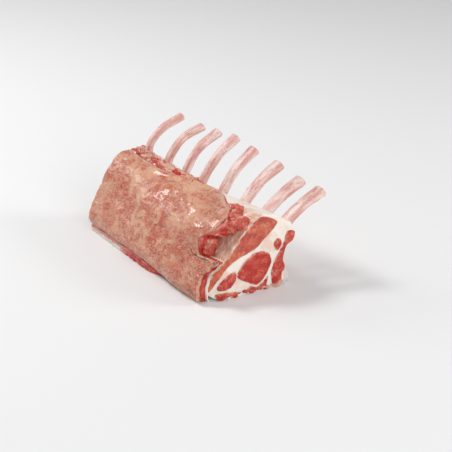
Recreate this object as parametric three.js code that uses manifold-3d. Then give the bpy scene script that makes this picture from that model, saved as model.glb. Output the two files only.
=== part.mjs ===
// A frenched rack of lamb: eight rib bones, the loin meat they carry and the fat cap folded over it.
// Millimetres, +Z up. It is modelled with x = 0 at the near cut face, the rack running towards -x, the fat
// cap on the -y side and the bones curving out over the +y side; at the end the whole is moved so that the
// origin is the middle of its footprint.
import * as THREE from "three";
import { mergeVertices } from "three/addons/utils/BufferGeometryUtils.js";
import Module from "manifold-3d";

const wasm = await Module();
wasm.setup();

// ---- Driving dimensions ----
const RACK_LENGTH = 196; // near cut face to far cut face
const GAP = 0.3; // between pieces that touch
const LAYER_GAP = 0.6; // between the fat and the lean, whose facets slant across each other
const RIB_COUNT = 8;
const FIRST_RIB_X = -8; // middle of the rib at the near face
const LAST_RIB_X = -186; // middle of the rib at the far face
const RIB_PITCH = (FIRST_RIB_X - LAST_RIB_X) / (RIB_COUNT - 1);
const CAP_FAT_THICKNESS = 7;
const CAP_EDGE_THICKNESS = 3.6; // of the fat along the cap's front edge
const LEAN_SHARE = 0.68; // how far through the rest of the cap the lean layer reaches, from fat to lining
const CUT_RECESS = 6; // how far the near cut falls back at its outer side
const RECESS_FROM = 5; // y where the near cut begins to fall back
const RECESS_TO = -12; // y where it has fallen back fully

// ---- Sections across the rack, as (y, z) points at a few places along it ----
// outer: the cap's outside, from the board up and over to the bones; inner: the loin's outside under it.
// back: the loin's bone side, from the top rim down to the board and along its flat base.
const STATIONS = [
  {
    x: 0,
    outer: [[-17, 0], [-20, 11], [-12, 24], [-4.5, 37], [0, 50], [8, 61], [20, 69.5], [34, 74.5], [48, 73]],
    inner: [[-6, 3], [-12.5, 12.5], [-3, 30], [5, 38.5], [13, 47], [22, 58], [31, 67.5], [41, 72.5],
      [50, 71]],
    back: [
      [58, 68], [73, 58], [75, 50], [73.7, 42], [67, 37.5], [63.5, 26],
      [71, 8], [71, 1.5], [62, 0], [30, 0], [4, 0],
    ],
  },
  {
    x: -25,
    outer: [[-20, 0], [-24, 13], [-17, 27], [-11, 40], [-6, 53], [5, 64], [18, 70], [32, 72.5], [48, 70.5]],
    inner: [[-6, 3], [-14, 13], [-5, 28], [4, 38], [11, 47], [19, 58], [27, 65.5], [37, 70.5], [50, 68.5]],
    back: [
      [57, 66.5], [69, 58.5], [70, 51], [66, 43], [61, 37], [58.7, 26],
      [66, 8], [66, 1.5], [57, 0], [28, 0], [3, 0],
    ],
  },
  {
    x: -100,
    outer: [[-20, 0], [-27, 13], [-23, 28], [-16, 42], [-9, 56], [5, 67], [20, 71.5], [34, 71], [50, 64.5]],
    inner: [[-7, 1], [-15, 13], [-11, 27], [-4, 40], [3, 52], [14, 62], [24, 66.5], [36, 67], [47, 63]],
    back: [
      [52, 61], [56, 57], [55, 51], [51, 45], [48, 38], [45, 26],
      [51, 8], [51, 1.5], [43, 0], [20, 0], [0, 0],
    ],
  },
  {
    x: -RACK_LENGTH,
    outer: [[-22, 0], [-29, 12], [-28, 26], [-20, 41], [-11, 56], [-1, 69], [12, 75], [24, 76.5], [36, 77.5]],
    inner: [[-10, 1], [-19, 12], [-18, 26], [-10, 40], [-1, 54], [7, 64], [16, 69], [26, 71.5], [35, 72]],
    back: [
      [39, 70], [40, 65], [39, 60], [36, 54], [34, 46], [32, 30],
      [38, 9], [38, 1.5], [31, 0], [14, 0], [-6, 0],
    ],
  },
];

// Each muscle's outline at the near cut and at the far cut.
const EYE = {
  near: [
    [17.6, 18.7], [21, 28], [30, 35.6], [41.5, 38], [50, 33.5], [52, 25.5], [47.5, 15], [41, 7.8], [36, 6.6],
    [27, 11.5],
  ],
  far: [[-8, 22], [-4, 32], [4, 40], [14, 43], [23, 40], [26, 31], [23, 19], [16, 11.5], [10, 10], [0, 14]],
};
const CAP_MUSCLE = {
  near: [
    [-11.3, 12.4], [-3, 28], [4.6, 36.4], [12.6, 45], [20.6, 54.2], [29, 63.2], [34.5, 68], [42, 70.8],
    [52, 67], [58, 61.5], [50.5, 53.6], [43, 47.6], [35, 41], [22, 37.4], [11, 32.6], [4, 27],
    [-3, 16.8], [-8, 9],
  ],
  far: [
    [-17.6, 13], [-16.6, 25.4], [-9, 38.6], [-3.6, 48], [2, 56], [8, 62.6], [14, 66.4], [21, 68.4],
    [28, 68.6], [30, 64.6], [24, 62.4], [18, 59], [11, 52], [3.4, 43.4], [-4, 33.8], [-10, 24.4],
    [-12.6, 16], [-13.6, 9],
  ],
};
const SIDE_MUSCLE = {
  near: [[14.6, 24.6], [15.8, 17], [10.5, 10.8], [1, 9.2], [-2.4, 12.4], [3.6, 20.6]],
  far: [[-4.4, 12], [-3.4, 9], [-5, 6], [-9, 5], [-11, 7.4], [-9, 11.6]],
};
const BASE_MUSCLE = {
  near: [[-3.6, 4.4], [-2, 7], [6, 6.8], [18, 4.6], [20.4, 2.6], [15, 1.4], [0, 1.4]],
  far: [[-4, 2.6], [-3, 4], [2, 4], [9, 3.4], [10, 2.4], [6, 1.2], [-1, 1.2]],
};
const LOWER_MUSCLE = {
  near: [[26.6, 3], [31, 6.6], [37, 4.6], [43.6, 7.4], [49, 12], [47.4, 4.4], [44, 1.6], [34, 1.4]],
  far: [[12.6, 3], [15, 5.6], [19, 5.4], [23, 7.4], [27, 11], [26.6, 5], [24.6, 2], [18, 1.4]],
};
const INNER_MUSCLE = {
  near: [
    [68.4, 50.4], [76.5, 49.4], [75.2, 42], [68, 36.9], [64.8, 26], [67, 17], [64, 11], [63, 4.6], [58.4, 2],
    [53.6, 4.4], [52.4, 14], [54.6, 22], [57, 28], [61, 33.6], [65.6, 42],
  ],
  far: [
    [34.6, 61], [40.6, 60], [38, 54], [35.4, 46], [33.4, 30], [35.6, 20], [36.6, 12], [36, 5], [33, 2.2],
    [30, 4.6], [28.6, 13], [28.2, 22], [28.2, 32], [29.4, 44], [32, 54],
  ],
};
const RIM_MUSCLE = {
  near: [[54.8, 41.5], [57.5, 46], [62, 45], [62.8, 40.5], [60.6, 36], [57, 35.5]],
  far: [[22.6, 54.2], [24, 57], [27, 56.6], [28, 54], [26.6, 51], [24, 51]],
};

// Each rib's free length in its own plane, near to far: where it leaves the meat, its middle and its cut
// end as (y, z), its half widths along x at the middle and at the end, and its half thickness.
const RIBS = [
  { leaves: [75, 58], middle: [91.6, 69.5], end: [110, 77.5], half: [6.7, 7.1], thick: 4.1 },
  { leaves: [69.5, 57], middle: [87, 70.6], end: [105.5, 80], half: [6.5, 7], thick: 4.1 },
  { leaves: [61, 58], middle: [79, 76], end: [99.2, 88.2], half: [6.1, 6.7], thick: 4 },
  { leaves: [53, 59.5], middle: [68.5, 82], end: [88.6, 96.3], half: [5.6, 6.4], thick: 3.8 },
  { leaves: [47, 64], middle: [64.5, 87], end: [84.4, 101.6], half: [5, 5.8], thick: 3.7 },
  { leaves: [43, 64.5], middle: [58.8, 87.6], end: [80.6, 99.8], half: [4.7, 5.4], thick: 3.6 },
  { leaves: [39.6, 70], middle: [55.6, 90], end: [77.6, 98], half: [4.3, 5.2], thick: 3.5 },
  { leaves: [34, 79], middle: [47.8, 93.8], end: [69.2, 102.8], half: [3.9, 5.2], thick: 3.4 },
];

// The cap's front edge as (share of the way up from the board, x): a flap that reaches past the near cut, a
// deep bite above it and a rounded corner at the top.
const CAP_FRONT = [[0, -9], [0.1, -3.5], [0.3, -3], [0.455, 3], [0.5, -25], [0.58, -28.5], [0.75, -18.5],
  [0.88, -17.5], [1, -27]];
// The lean's lumps in front of the fat, in the bite: share of the way up, reach in x and half height.
const LEAN_LUMPS = [[0.57, 9, 0.05], [0.72, 11, 0.05], [0.83, 12, 0.06]];
// How far over the top the cap reaches, as y: a level, and bells on it as (x, rise, reach).
const CAP_TOP = 17;
const CAP_TOP_RISES = [[-80, 30, 36], [-18, 7, 22]];

// ---- Small maths ----
const clamp01 = (t) => Math.min(1, Math.max(0, t));
const smooth = (t) => clamp01(t) ** 2 * (3 - 2 * clamp01(t));
const mix = (a, b, t) => a + (b - a) * t;
const hump = (d, reach) => Math.exp(-((d / reach) ** 2));

// A Catmull-Rom value through the four numbers, t of the way from b to c.
function through(a, b, c, d, t) {
  return b + 0.5 * t * (c - a + t * (2 * a - 5 * b + 4 * c - d + t * (3 * (b - c) + d - a)));
}

// A point of a Catmull-Rom curve through the control points; t counts control points.
function onCurve(points, t, closed) {
  const n = points.length;
  const at = (k) => points[closed ? (k + n) % n : Math.min(n - 1, Math.max(0, k))];
  const k = closed ? Math.floor(t) : Math.min(n - 2, Math.max(0, Math.floor(t)));
  const [a, b, c, d] = [at(k - 1), at(k), at(k + 1), at(k + 2)];
  return [0, 1].map((axis) => through(a[axis], b[axis], c[axis], d[axis], t - k));
}

// The control points of one of the stations' outlines at any x, on straight lines between the stations.
function sectionAt(key, x) {
  const last = STATIONS.length - 1;
  let i = 0;
  while (i < last - 1 && x < STATIONS[i + 1].x) i += 1;
  const [a, b] = [STATIONS[i], STATIONS[i + 1]];
  const t = clamp01((x - a.x) / (b.x - a.x));
  return a[key].map((p, k) => [mix(p[0], b[key][k][0], t), mix(p[1], b[key][k][1], t)]);
}

// ---- Closed surfaces ----
// Joins rings of 3-D points, each with the same count, into a closed surface with triangulated ends.
function loft(rings) {
  const count = rings[0].length;
  const positions = rings.flat().flatMap((p) => [p.x, p.y, p.z]);
  const index = [];
  for (let r = 0; r + 1 < rings.length; r++) {
    for (let k = 0; k < count; k++) {
      const [a, b] = [r * count + k, r * count + ((k + 1) % count)];
      index.push(a, b, a + count, b, b + count, a + count);
    }
  }
  for (const [r, flip] of [[0, true], [rings.length - 1, false]]) {
    for (const [i, j, k] of capTriangles(rings[r])) {
      const [a, b, c] = [i, j, k].map((n) => n + r * count);
      index.push(...(flip ? [a, c, b] : [a, b, c]));
    }
  }
  return closedGeometry(positions, index);
}

// Triangles over one ring, seen square to the plane that it lies in.
function capTriangles(ring) {
  const normal = new THREE.Vector3();
  const middle = ring.reduce((sum, p) => sum.add(p), new THREE.Vector3()).divideScalar(ring.length);
  ring.forEach((p, k) => {
    const next = ring[(k + 1) % ring.length];
    normal.add(p.clone().sub(middle).cross(next.clone().sub(middle)));
  });
  normal.normalize();
  const side = ring[0].clone().sub(middle).projectOnPlane(normal).normalize();
  const up = normal.clone().cross(side);
  const flat = ring.map((p) => {
    const d = p.clone().sub(middle);
    return new THREE.Vector2(d.dot(side), d.dot(up));
  });
  return THREE.ShapeUtils.triangulateShape(flat, []);
}

// Closes two facing grids of points, outside and inside, along their four edges.
function slab(outside, inside) {
  const [rows, columns] = [outside.length, outside[0].length];
  const positions = [...outside.flat(), ...inside.flat()].flatMap((p) => [p.x, p.y, p.z]);
  const at = (layer, r, c) => (layer * rows + r) * columns + c;
  const index = [];
  const quad = (a, b, c, d) => index.push(a, b, c, a, c, d);
  for (let r = 0; r + 1 < rows; r++) {
    for (let c = 0; c + 1 < columns; c++) {
      quad(at(0, r, c), at(0, r, c + 1), at(0, r + 1, c + 1), at(0, r + 1, c));
      quad(at(1, r, c), at(1, r + 1, c), at(1, r + 1, c + 1), at(1, r, c + 1));
    }
    quad(at(0, r, 0), at(0, r + 1, 0), at(1, r + 1, 0), at(1, r, 0));
    quad(at(0, r + 1, columns - 1), at(0, r, columns - 1), at(1, r, columns - 1), at(1, r + 1, columns - 1));
  }
  for (let c = 0; c + 1 < columns; c++) {
    quad(at(0, 0, c + 1), at(0, 0, c), at(1, 0, c), at(1, 0, c + 1));
    quad(at(0, rows - 1, c), at(0, rows - 1, c + 1), at(1, rows - 1, c + 1), at(1, rows - 1, c));
  }
  return closedGeometry(positions, index);
}

// A geometry whose faces point outwards, whichever way round its triangles were made.
function closedGeometry(positions, index) {
  let volume = 0;
  const p = (i) => new THREE.Vector3().fromArray(positions, 3 * i);
  for (let i = 0; i < index.length; i += 3) {
    volume += p(index[i]).dot(p(index[i + 1]).cross(p(index[i + 2])));
  }
  if (volume < 0) {
    for (let i = 0; i < index.length; i += 3) {
      [index[i + 1], index[i + 2]] = [index[i + 2], index[i + 1]];
    }
  }
  const geometry = new THREE.BufferGeometry();
  geometry.setAttribute("position", new THREE.Float32BufferAttribute(positions, 3));
  geometry.setIndex(index);
  return geometry;
}

// ---- Booleans ----
const WELD = 1e-4; // points closer than this are one

function solidOf(geometry) {
  geometry.deleteAttribute("normal");
  geometry.deleteAttribute("uv");
  const merged = mergeVertices(geometry, WELD);
  return new wasm.Manifold(
    new wasm.Mesh({
      numProp: 3,
      vertProperties: merged.attributes.position.array,
      triVerts: new Uint32Array(merged.index.array),
    }),
  );
}

// The largest body of a solid, without the slivers that a cut leaves.
function largest(solid) {
  return solid.decompose().sort((a, b) => b.volume() - a.volume())[0];
}

function geometryOf(solid) {
  const { vertProperties, triVerts } = solid.getMesh();
  const geometry = new THREE.BufferGeometry();
  geometry.setAttribute("position", new THREE.BufferAttribute(vertProperties, 3));
  geometry.setIndex(new THREE.BufferAttribute(triVerts, 1));
  return geometry;
}

// ---- The loin: seam fat with the muscles that run through it ----
const PAST_CUTS = 4; // how far the muscles' pockets run past the cuts
const OUTLINE_SIDES = 2; // points along an outline for each of its control points
const PLACES = [0, -25, -100, -RACK_LENGTH]; // where the loin's sections are set out

// The loin's whole outline at x, grown by grow all round.
function loinOutline(x, grow) {
  const control = [...sectionAt("inner", x), ...sectionAt("back", x)];
  return drawnIn(smoothed(control), -grow).map(([y, z]) => new THREE.Vector3(x, y, Math.max(-grow, z)));
}

function smoothed(control) {
  const count = control.length * OUTLINE_SIDES;
  return Array.from({ length: count }, (_, k) => onCurve(control, k / OUTLINE_SIDES, true));
}

// The sections' places, with one more at each end where the loft runs past the cuts.
const placesPast = (past) => (past > 0 ? [past, ...PLACES, -RACK_LENGTH - past] : PLACES);

function loinBody(grow) {
  return solidOf(loft(placesPast(grow).map((x) => loinOutline(x, grow))));
}

// What the near cut takes off: it isn't quite square, and falls back towards the cap by the board.
function cutAway() {
  const steps = 6;
  const clear = 60; // beyond the rack on every side
  const outline = [
    new THREE.Vector2(clear, RECESS_FROM),
    new THREE.Vector2(clear, -clear),
    new THREE.Vector2(-CUT_RECESS, -clear),
  ];
  for (let i = 0; i <= steps; i++) {
    const y = mix(RECESS_TO, RECESS_FROM, i / steps);
    outline.push(new THREE.Vector2(-CUT_RECESS * smooth(1 - i / steps), y));
  }
  const options = { depth: 2 * clear, bevelEnabled: false };
  const block = new THREE.ExtrudeGeometry(new THREE.Shape(outline), options);
  return solidOf(block.translate(0, 0, -clear));
}

// A muscle from its near outline to its far one, drawn in by inset all round; past is how far it runs
// beyond both cuts.
function muscle({ near, far }, inset, past) {
  const rings = placesPast(past).map((x) => {
    const t = clamp01(-x / RACK_LENGTH);
    const control = near.map((p, k) => [mix(p[0], far[k][0], t), mix(p[1], far[k][1], t)]);
    return drawnIn(smoothed(control), inset).map(([y, z]) => new THREE.Vector3(x, y, z));
  });
  return solidOf(loft(rings));
}

// A clockwise (y, z) outline moved inwards by a distance, along the normal at each point.
function drawnIn(outline, distance) {
  const n = outline.length;
  return outline.map(([y, z], k) => {
    const [before, after] = [outline[(k + n - 1) % n], outline[(k + 1) % n]];
    const [dy, dz] = [after[0] - before[0], after[1] - before[1]];
    const length = Math.hypot(dy, dz);
    return [y + (distance * dz) / length, z - (distance * dy) / length];
  });
}

// ---- The bones ----
const RIB_FACETS = { sides: 8, steps: 12, reach: 6 }; // reach counts points of the rib's centre line
const GROOVE_FACETS = { sides: 4, steps: 9, reach: 4.5 }; // the same steps, as far as the bone is in meat
const HEAD_WIDENING = 0.9; // added to a rib's half width at its head on the back bone
const HEAD_LENGTH = 1.4; // of the wider head, in points of the centre line
const HEAD_THICKENING = 0.3; // of the head's extra half width, as extra half thickness
const END_THICKENING = 0.12; // share by which a rib is thicker at its cut end
const MIDDLE_AT = 5; // the rib's middle along its centre line, where it starts to thicken
const WIDENS_FROM = 4.6; // along the centre line, where it goes from its middle's width to its end's
const WIDENS_OVER = 1.4;
const STANDS_OUT = 0.8; // of the loin's bone side, where the rib is half sunk in it
const HEAD_IN = 3.6; // from the loin's foot to the middle of the head
const LOWER_SHARE = 0.6; // from the foot to the hollow, where the line has its second point
const ABOVE_HOLLOW = 4; // of its third point
const RIM_OFFSET = [-1, 2]; // of its fourth point from the rim, beside how far it is sunk
const SLOPE_STEP = 0.05; // along the centre line, each way, for its direction

// A rib's centre line in its own plane: its head by the board, up the bone side of the loin, half sunk in
// it, then out over the rim to its cut end.
function ribLine(rib, x) {
  const back = sectionAt("back", x);
  const sunk = rib.thick - STANDS_OUT;
  const [rim, hollow, foot] = [back[4], back[5], back[6]];
  return [
    [foot[0] - HEAD_IN, foot[1]],
    [mix(foot[0], hollow[0], LOWER_SHARE) - sunk, mix(foot[1], hollow[1], LOWER_SHARE)],
    [hollow[0] - sunk, hollow[1] + ABOVE_HOLLOW],
    [rim[0] - sunk + RIM_OFFSET[0], rim[1] + RIM_OFFSET[1]],
    rib.leaves,
    rib.middle,
    rib.end,
  ];
}

// Half width along x and half thickness across it, at a place along the rib's centre line.
function ribSize(rib, along) {
  const head = HEAD_WIDENING * smooth(1 - along / HEAD_LENGTH);
  return {
    width: mix(rib.half[0], rib.half[1], smooth((along - WIDENS_FROM) / WIDENS_OVER)) + head,
    thickness: rib.thick * (1 + END_THICKENING * smooth(along - MIDDLE_AT)) + HEAD_THICKENING * head,
  };
}

// The rib grown by grow, as flat-sided rings along its centre line. Four sides make a square-edged groove
// that the oval bone fits in.
function ribSolid(rib, x, grow, { sides, steps, reach }) {
  const line = ribLine(rib, x);
  const last = line.length - 1;
  const corner = sides === 4 ? Math.SQRT2 : 1;
  const rings = [];
  for (let i = 0; i <= steps; i++) {
    const along = (i / steps) * reach;
    const [y, z] = onCurve(line, along);
    const [y1, z1] = onCurve(line, Math.min(last, along + SLOPE_STEP));
    const [y0, z0] = onCurve(line, Math.max(0, along - SLOPE_STEP));
    const length = Math.hypot(y1 - y0, z1 - z0);
    const [ty, tz] = [(y1 - y0) / length, (z1 - z0) / length];
    const { width, thickness } = ribSize(rib, along);
    const back = i === 0 ? -grow : 0;
    rings.push(
      Array.from({ length: sides }, (_, k) => {
        const turn = (2 * Math.PI * (k + 0.5)) / sides;
        const across = (thickness + grow) * corner * Math.sin(turn);
        return new THREE.Vector3(
          x + (width + grow) * corner * Math.cos(turn),
          y + ty * back - tz * across,
          z + tz * back + ty * across,
        );
      }),
    );
  }
  return solidOf(loft(rings));
}

// ---- The fat cap, the lean under it and its lining ----
const CAP_SIDES = [0, 0.1, 0.2, 0.3, 0.38, 0.455, 0.478, 0.5, 0.6, 0.7, 0.8, 0.9, 1]; // rows, board to top
const CAP_COLUMNS = 9;
const COLUMN_CROWDING = 1.25; // how much closer together the columns are at the front
const TRIM_REACH = 1.2; // how far the lean shows past the fat at the top of the far end, in control points
const TRIM_LEAST = 0.05; // how far it shows elsewhere
const TRIM_FROM = 95; // behind the near cut, where the trimmings begin
const TRIM_OVER = 25; // in x, until they are at their widest
const OUTLINE_END = STATIONS[0].outer.length - 1;
const SHOULDER_AT = 4; // on the outer outline, where the cap turns over the top
const HALVINGS = 24;
const LEAN_BEHIND = 0.5; // the fat's front edge, where there is no lump
const FULL_BEHIND = 30; // the front edge, where the fat has its full thickness
const TOP_SHARE = 0.55; // of that thickness, left along the top edge
const TOP_THINNING = 0.3; // of the way up, over which it thins
const MOST_FAT = 0.55; // of the whole cap's thickness
const BOTTOM_AT = 0.06; // where on the outer curve the fat starts by the flap
const BOTTOM_RISE = 0.6; // added to that further back
const BOTTOM_RISE_FROM = 50; // behind the near cut
const BOTTOM_RISE_OVER = 40;

// How far over the top the cap reaches, as y.
function capTopEdge(x) {
  return CAP_TOP_RISES.reduce((y, [at, rise, reach]) => y + rise * hump(x - at, reach), CAP_TOP);
}

// Where along the outer curve the cap stops at its top, for one x.
function topParameter(x) {
  const outer = sectionAt("outer", x);
  let [low, high] = [SHOULDER_AT, OUTLINE_END];
  for (let i = 0; i < HALVINGS; i++) {
    const t = (low + high) / 2;
    if (onCurve(outer, t)[0] < capTopEdge(x)) low = t;
    else high = t;
  }
  return low;
}

// x of the cap's front edge; side runs from 0 at the board to 1 at the top edge.
function capFrontEdge(side) {
  const last = CAP_FRONT.length - 1;
  let i = 0;
  while (i < last - 1 && side > CAP_FRONT[i + 1][0]) i += 1;
  const [[from, x0], [to, x1]] = [CAP_FRONT[i], CAP_FRONT[i + 1]];
  return mix(x0, x1, smooth((side - from) / (to - from)));
}

// The lean layer's front edge: flush in the flap, and in front of the fat in the bite, as lumps.
function leanFrontEdge(side) {
  const lumps = LEAN_LUMPS.reduce((sum, [at, x, reach]) => sum + x * hump(side - at, reach), 0);
  return capFrontEdge(side) - LEAN_BEHIND + lumps;
}

// The x of each column of points, from the front edge back, closer together at the front. With lumps, two
// more columns come first.
function columnsAt(side, lumps) {
  const front = capFrontEdge(side);
  const columns = Array.from({ length: CAP_COLUMNS + 1 }, (_, i) =>
    mix(front, -RACK_LENGTH, (i / CAP_COLUMNS) ** COLUMN_CROWDING),
  );
  if (!lumps) return columns;
  const edge = leanFrontEdge(side);
  return [edge, mix(edge, front, 0.5), ...columns];
}

// Where a row lies along the outer curve. Row -1 is at the board, and row 2 past the top edge, where the
// far ribs' trimmings show.
function rowParameter(x, row) {
  if (row < 0) return 0;
  const top = topParameter(x);
  if (row > 1) return top + TRIM_LEAST + TRIM_REACH * smooth((-x - TRIM_FROM) / TRIM_OVER);
  return mix(fatBottom(x), top, row);
}

// Grids of points for one layer. from and to give its depths at (x, side); whole says that the layer
// reaches down to the board, past the top and in front of the fat.
function layerSolid({ from, to, whole }) {
  const rows = whole ? [-1, ...CAP_SIDES, 2] : CAP_SIDES;
  const grids = [from, to].map((depth) =>
    rows.map((row) => {
      const side = clamp01(row);
      return columnsAt(side, whole).map((x) => {
        const t = rowParameter(x, row);
        const section = Math.min(0, x);
        const [oy, oz] = onCurve(sectionAt("outer", section), t);
        const [iy, iz] = onCurve(sectionAt("inner", section), t);
        const thickness = Math.hypot(iy - oy, iz - oz);
        const share = depth(x, side, thickness) / thickness;
        return new THREE.Vector3(x, mix(oy, iy, share), Math.max(0, mix(oz, iz, share)));
      });
    }),
  );
  return solidOf(slab(grids[0], grids[1]));
}

// Depth of the fat's inner face: thin at the front edge and along the top, full elsewhere.
function fatDepth(x, side, thickness) {
  const behindEdge = smooth((capFrontEdge(side) - x) / FULL_BEHIND);
  const top = mix(1, TOP_SHARE, smooth((side - 1 + TOP_THINNING) / TOP_THINNING));
  const full = mix(CAP_EDGE_THICKNESS, CAP_FAT_THICKNESS, behindEdge) * top;
  return Math.min(full, MOST_FAT * thickness);
}

// Depth of the lean layer's inner face.
function leanDepth(x, side, thickness) {
  return mix(fatDepth(x, side, thickness), thickness, LEAN_SHARE);
}

// Where along the outer curve the fat starts: at the board by the flap, a little above it further back.
function fatBottom(x) {
  return BOTTOM_AT + BOTTOM_RISE * smooth((-x - BOTTOM_RISE_FROM) / BOTTOM_RISE_OVER);
}

const capFat = () => layerSolid({ from: () => 0, to: fatDepth, whole: false });

const capLean = () =>
  layerSolid({
    from: (x, side, thickness) => fatDepth(x, side, thickness) + LAYER_GAP,
    to: leanDepth,
    whole: true,
  });

const capLining = () =>
  layerSolid({
    from: (x, side, thickness) => leanDepth(x, side, thickness) + GAP,
    to: (x, side, thickness) => thickness,
    whole: false,
  });

// ---- Finishes and assembly ----
const finish = (color, roughness) => new THREE.MeshStandardMaterial({ color, roughness, metalness: 0 });
const FINISHES = {
  cap_fat: finish(0xdda58e, 0.5),
  lean: finish(0xb0352a, 0.45),
  pale_lean: finish(0xb5594a, 0.45),
  fat: finish(0xe9dccb, 0.4),
  bone: finish(0xe2b6ae, 0.4),
};

const rack = new THREE.Group();

function addMesh(name, solid, material) {
  const mesh = new THREE.Mesh(geometryOf(solid), material);
  mesh.name = name;
  rack.add(mesh);
}

// The muscles in the loin: each is drawn in from the pocket that the seam fat has for it.
const MUSCLES = [
  ["eye_muscle", EYE, FINISHES.lean],
  ["cap_muscle", CAP_MUSCLE, FINISHES.pale_lean],
  ["side_muscle", SIDE_MUSCLE, FINISHES.lean],
  ["base_muscle", BASE_MUSCLE, FINISHES.pale_lean],
  ["lower_muscle", LOWER_MUSCLE, FINISHES.lean],
  ["inner_muscle", INNER_MUSCLE, FINISHES.lean],
  ["rim_muscle", RIM_MUSCLE, FINISHES.lean],
];

const ribX = (i) => FIRST_RIB_X - i * RIB_PITCH;
const ribGrooves = RIBS.map((rib, i) => ribSolid(rib, ribX(i), GAP, GROOVE_FACETS));
const cut = cutAway();
const loin = loinBody(0).subtract(cut);
const grownLoin = loinBody(2 * GAP);
let seamFat = loin;
for (const [, outline] of MUSCLES) seamFat = seamFat.subtract(muscle(outline, 0, PAST_CUTS));
for (const groove of ribGrooves) seamFat = seamFat.subtract(groove);
addMesh("seam_fat", largest(seamFat), FINISHES.fat);

for (const [name, outline, material] of MUSCLES) {
  let solid = muscle(outline, GAP, 0).intersect(loin);
  for (const groove of ribGrooves) solid = solid.subtract(groove);
  addMesh(name, largest(solid), material);
}

RIBS.forEach((rib, i) => {
  addMesh(`rib_${RIB_COUNT - i}`, ribSolid(rib, ribX(i), 0, RIB_FACETS), FINISHES.bone);
});

const LAYERS = [
  ["fat_cap", capFat(), FINISHES.cap_fat],
  ["under_cap_muscle", capLean(), FINISHES.lean],
  ["cap_lining", capLining(), FINISHES.fat],
];
for (const [name, layer, material] of LAYERS) {
  let solid = layer.subtract(grownLoin);
  for (const groove of ribGrooves) solid = solid.subtract(groove);
  addMesh(name, largest(solid), material);
}

// The origin is the middle of the footprint, on the board.
const box = new THREE.Box3().setFromObject(rack);
rack.position.set(-(box.min.x + box.max.x) / 2, -(box.min.y + box.max.y) / 2, -box.min.z);

export default rack;
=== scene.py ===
"""Fine surfaces and finishes of a frenched rack of lamb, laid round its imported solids.

The rack lies on its loin. Its shape is set out by sections across it, at a few places along x, in
millimetres from the near cut face. Every piece is a surface worked out on whole numpy arrays.
"""

import logging
import math
from collections.abc import Callable
from dataclasses import dataclass, field
from enum import Enum
from itertools import product

import bmesh
import bpy
import numpy as np
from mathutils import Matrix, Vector


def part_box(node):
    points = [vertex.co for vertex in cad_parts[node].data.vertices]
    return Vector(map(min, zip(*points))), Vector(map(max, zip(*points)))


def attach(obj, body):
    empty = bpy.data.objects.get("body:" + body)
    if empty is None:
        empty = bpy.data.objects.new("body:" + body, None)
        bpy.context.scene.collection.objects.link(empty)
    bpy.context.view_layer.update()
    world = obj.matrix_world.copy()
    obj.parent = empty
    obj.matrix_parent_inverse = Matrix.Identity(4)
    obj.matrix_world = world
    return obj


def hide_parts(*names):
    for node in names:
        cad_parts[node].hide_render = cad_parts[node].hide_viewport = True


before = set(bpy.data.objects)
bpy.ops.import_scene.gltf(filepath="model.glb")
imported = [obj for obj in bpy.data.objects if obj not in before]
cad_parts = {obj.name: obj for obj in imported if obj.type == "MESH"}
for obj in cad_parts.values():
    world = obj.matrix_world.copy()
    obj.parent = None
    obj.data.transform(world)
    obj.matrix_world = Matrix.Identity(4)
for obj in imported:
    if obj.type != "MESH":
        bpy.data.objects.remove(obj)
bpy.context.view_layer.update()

LOG = logging.getLogger("rack_of_lamb")
MM = 0.001
RIM_STEPS = 7
RIM_TAPER = 0.02
RACK_LENGTH = 196.0
CUT_RECESS = 6.0
CUT_RECESS_FROM = 5.0
CUT_RECESS_OVER = 17.0
CUT_WAVE = 0.5
CUT_WAVE_SIZE = 22.0
CRUMB_DEPTH = 1.6
CRUMB_SIZE = 3.4
CRUMB_MIDDLE = 0.35
CRUMB_TOP = 5.5
CRUMB_OVER = 4.0
RIB_COUNT = 8
FIRST_RIB_X = -8.0
LAST_RIB_X = -186.0
RIB_PITCH = (FIRST_RIB_X - LAST_RIB_X) / (RIB_COUNT - 1)
LEAST = 1e-9
Amount = float | np.ndarray


class Slot(Enum):
    """The material slots that the pieces are dressed in."""

    CAP_FAT = "cap_fat"
    SEAM_FAT = "seam_fat"
    LEAN = "lean"
    PALE_LEAN = "pale_lean"
    BONE = "bone"


# ---- Whole-array maths ----
def mix(a: Amount, b: Amount, t: Amount) -> Amount:
    """Returns the value t of the way from a to b."""
    return a + (b - a) * t


def smooth(t: Amount) -> Amount:
    """Returns 3t^2 - 2t^3 with t held between 0 and 1."""
    t = np.clip(t, 0.0, 1.0)
    return t * t * (3.0 - 2.0 * t)


def ramp(value: Amount, start: float, end: float) -> Amount:
    """Returns a smooth step from 0 where the value is start to 1 where it is end."""
    return smooth((value - start) / (end - start))


def hump(distance: Amount, reach: float) -> Amount:
    """Returns a bell of height 1, exp(-(distance / reach)^2)."""
    return np.exp(-((distance / reach) ** 2))


def through(points: np.ndarray, t: np.ndarray, closed: bool = False) -> np.ndarray:
    """Gives points on the Catmull-Rom curve through control points.

    Between two control points b and c, with neighbours a and d, the point is the cubic that leaves b
    along (c - a) / 2 and meets c along (d - b) / 2.

    Args:
        points: the control points, one a row.
        t: places along the curve, counted in control points.
        closed: whether the last point joins the first.

    Returns:
        An array of t's shape with one more axis for the coordinates.
    """
    control = np.asarray(points, float)
    count = len(control)
    t = np.asarray(t, float)
    k = np.floor(t).astype(int)
    if not closed:
        k = np.clip(k, 0, count - 2)
    f = (t - k)[..., None]
    wrap = (lambda i: i % count) if closed else (lambda i: np.clip(i, 0, count - 1))
    a, b, c, d = (control[wrap(k + o)] for o in (-1, 0, 1, 2))
    return b + 0.5 * f * (c - a + f * (2 * a - 5 * b + 4 * c - d + f * (3 * (b - c) + d - a)))


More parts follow.
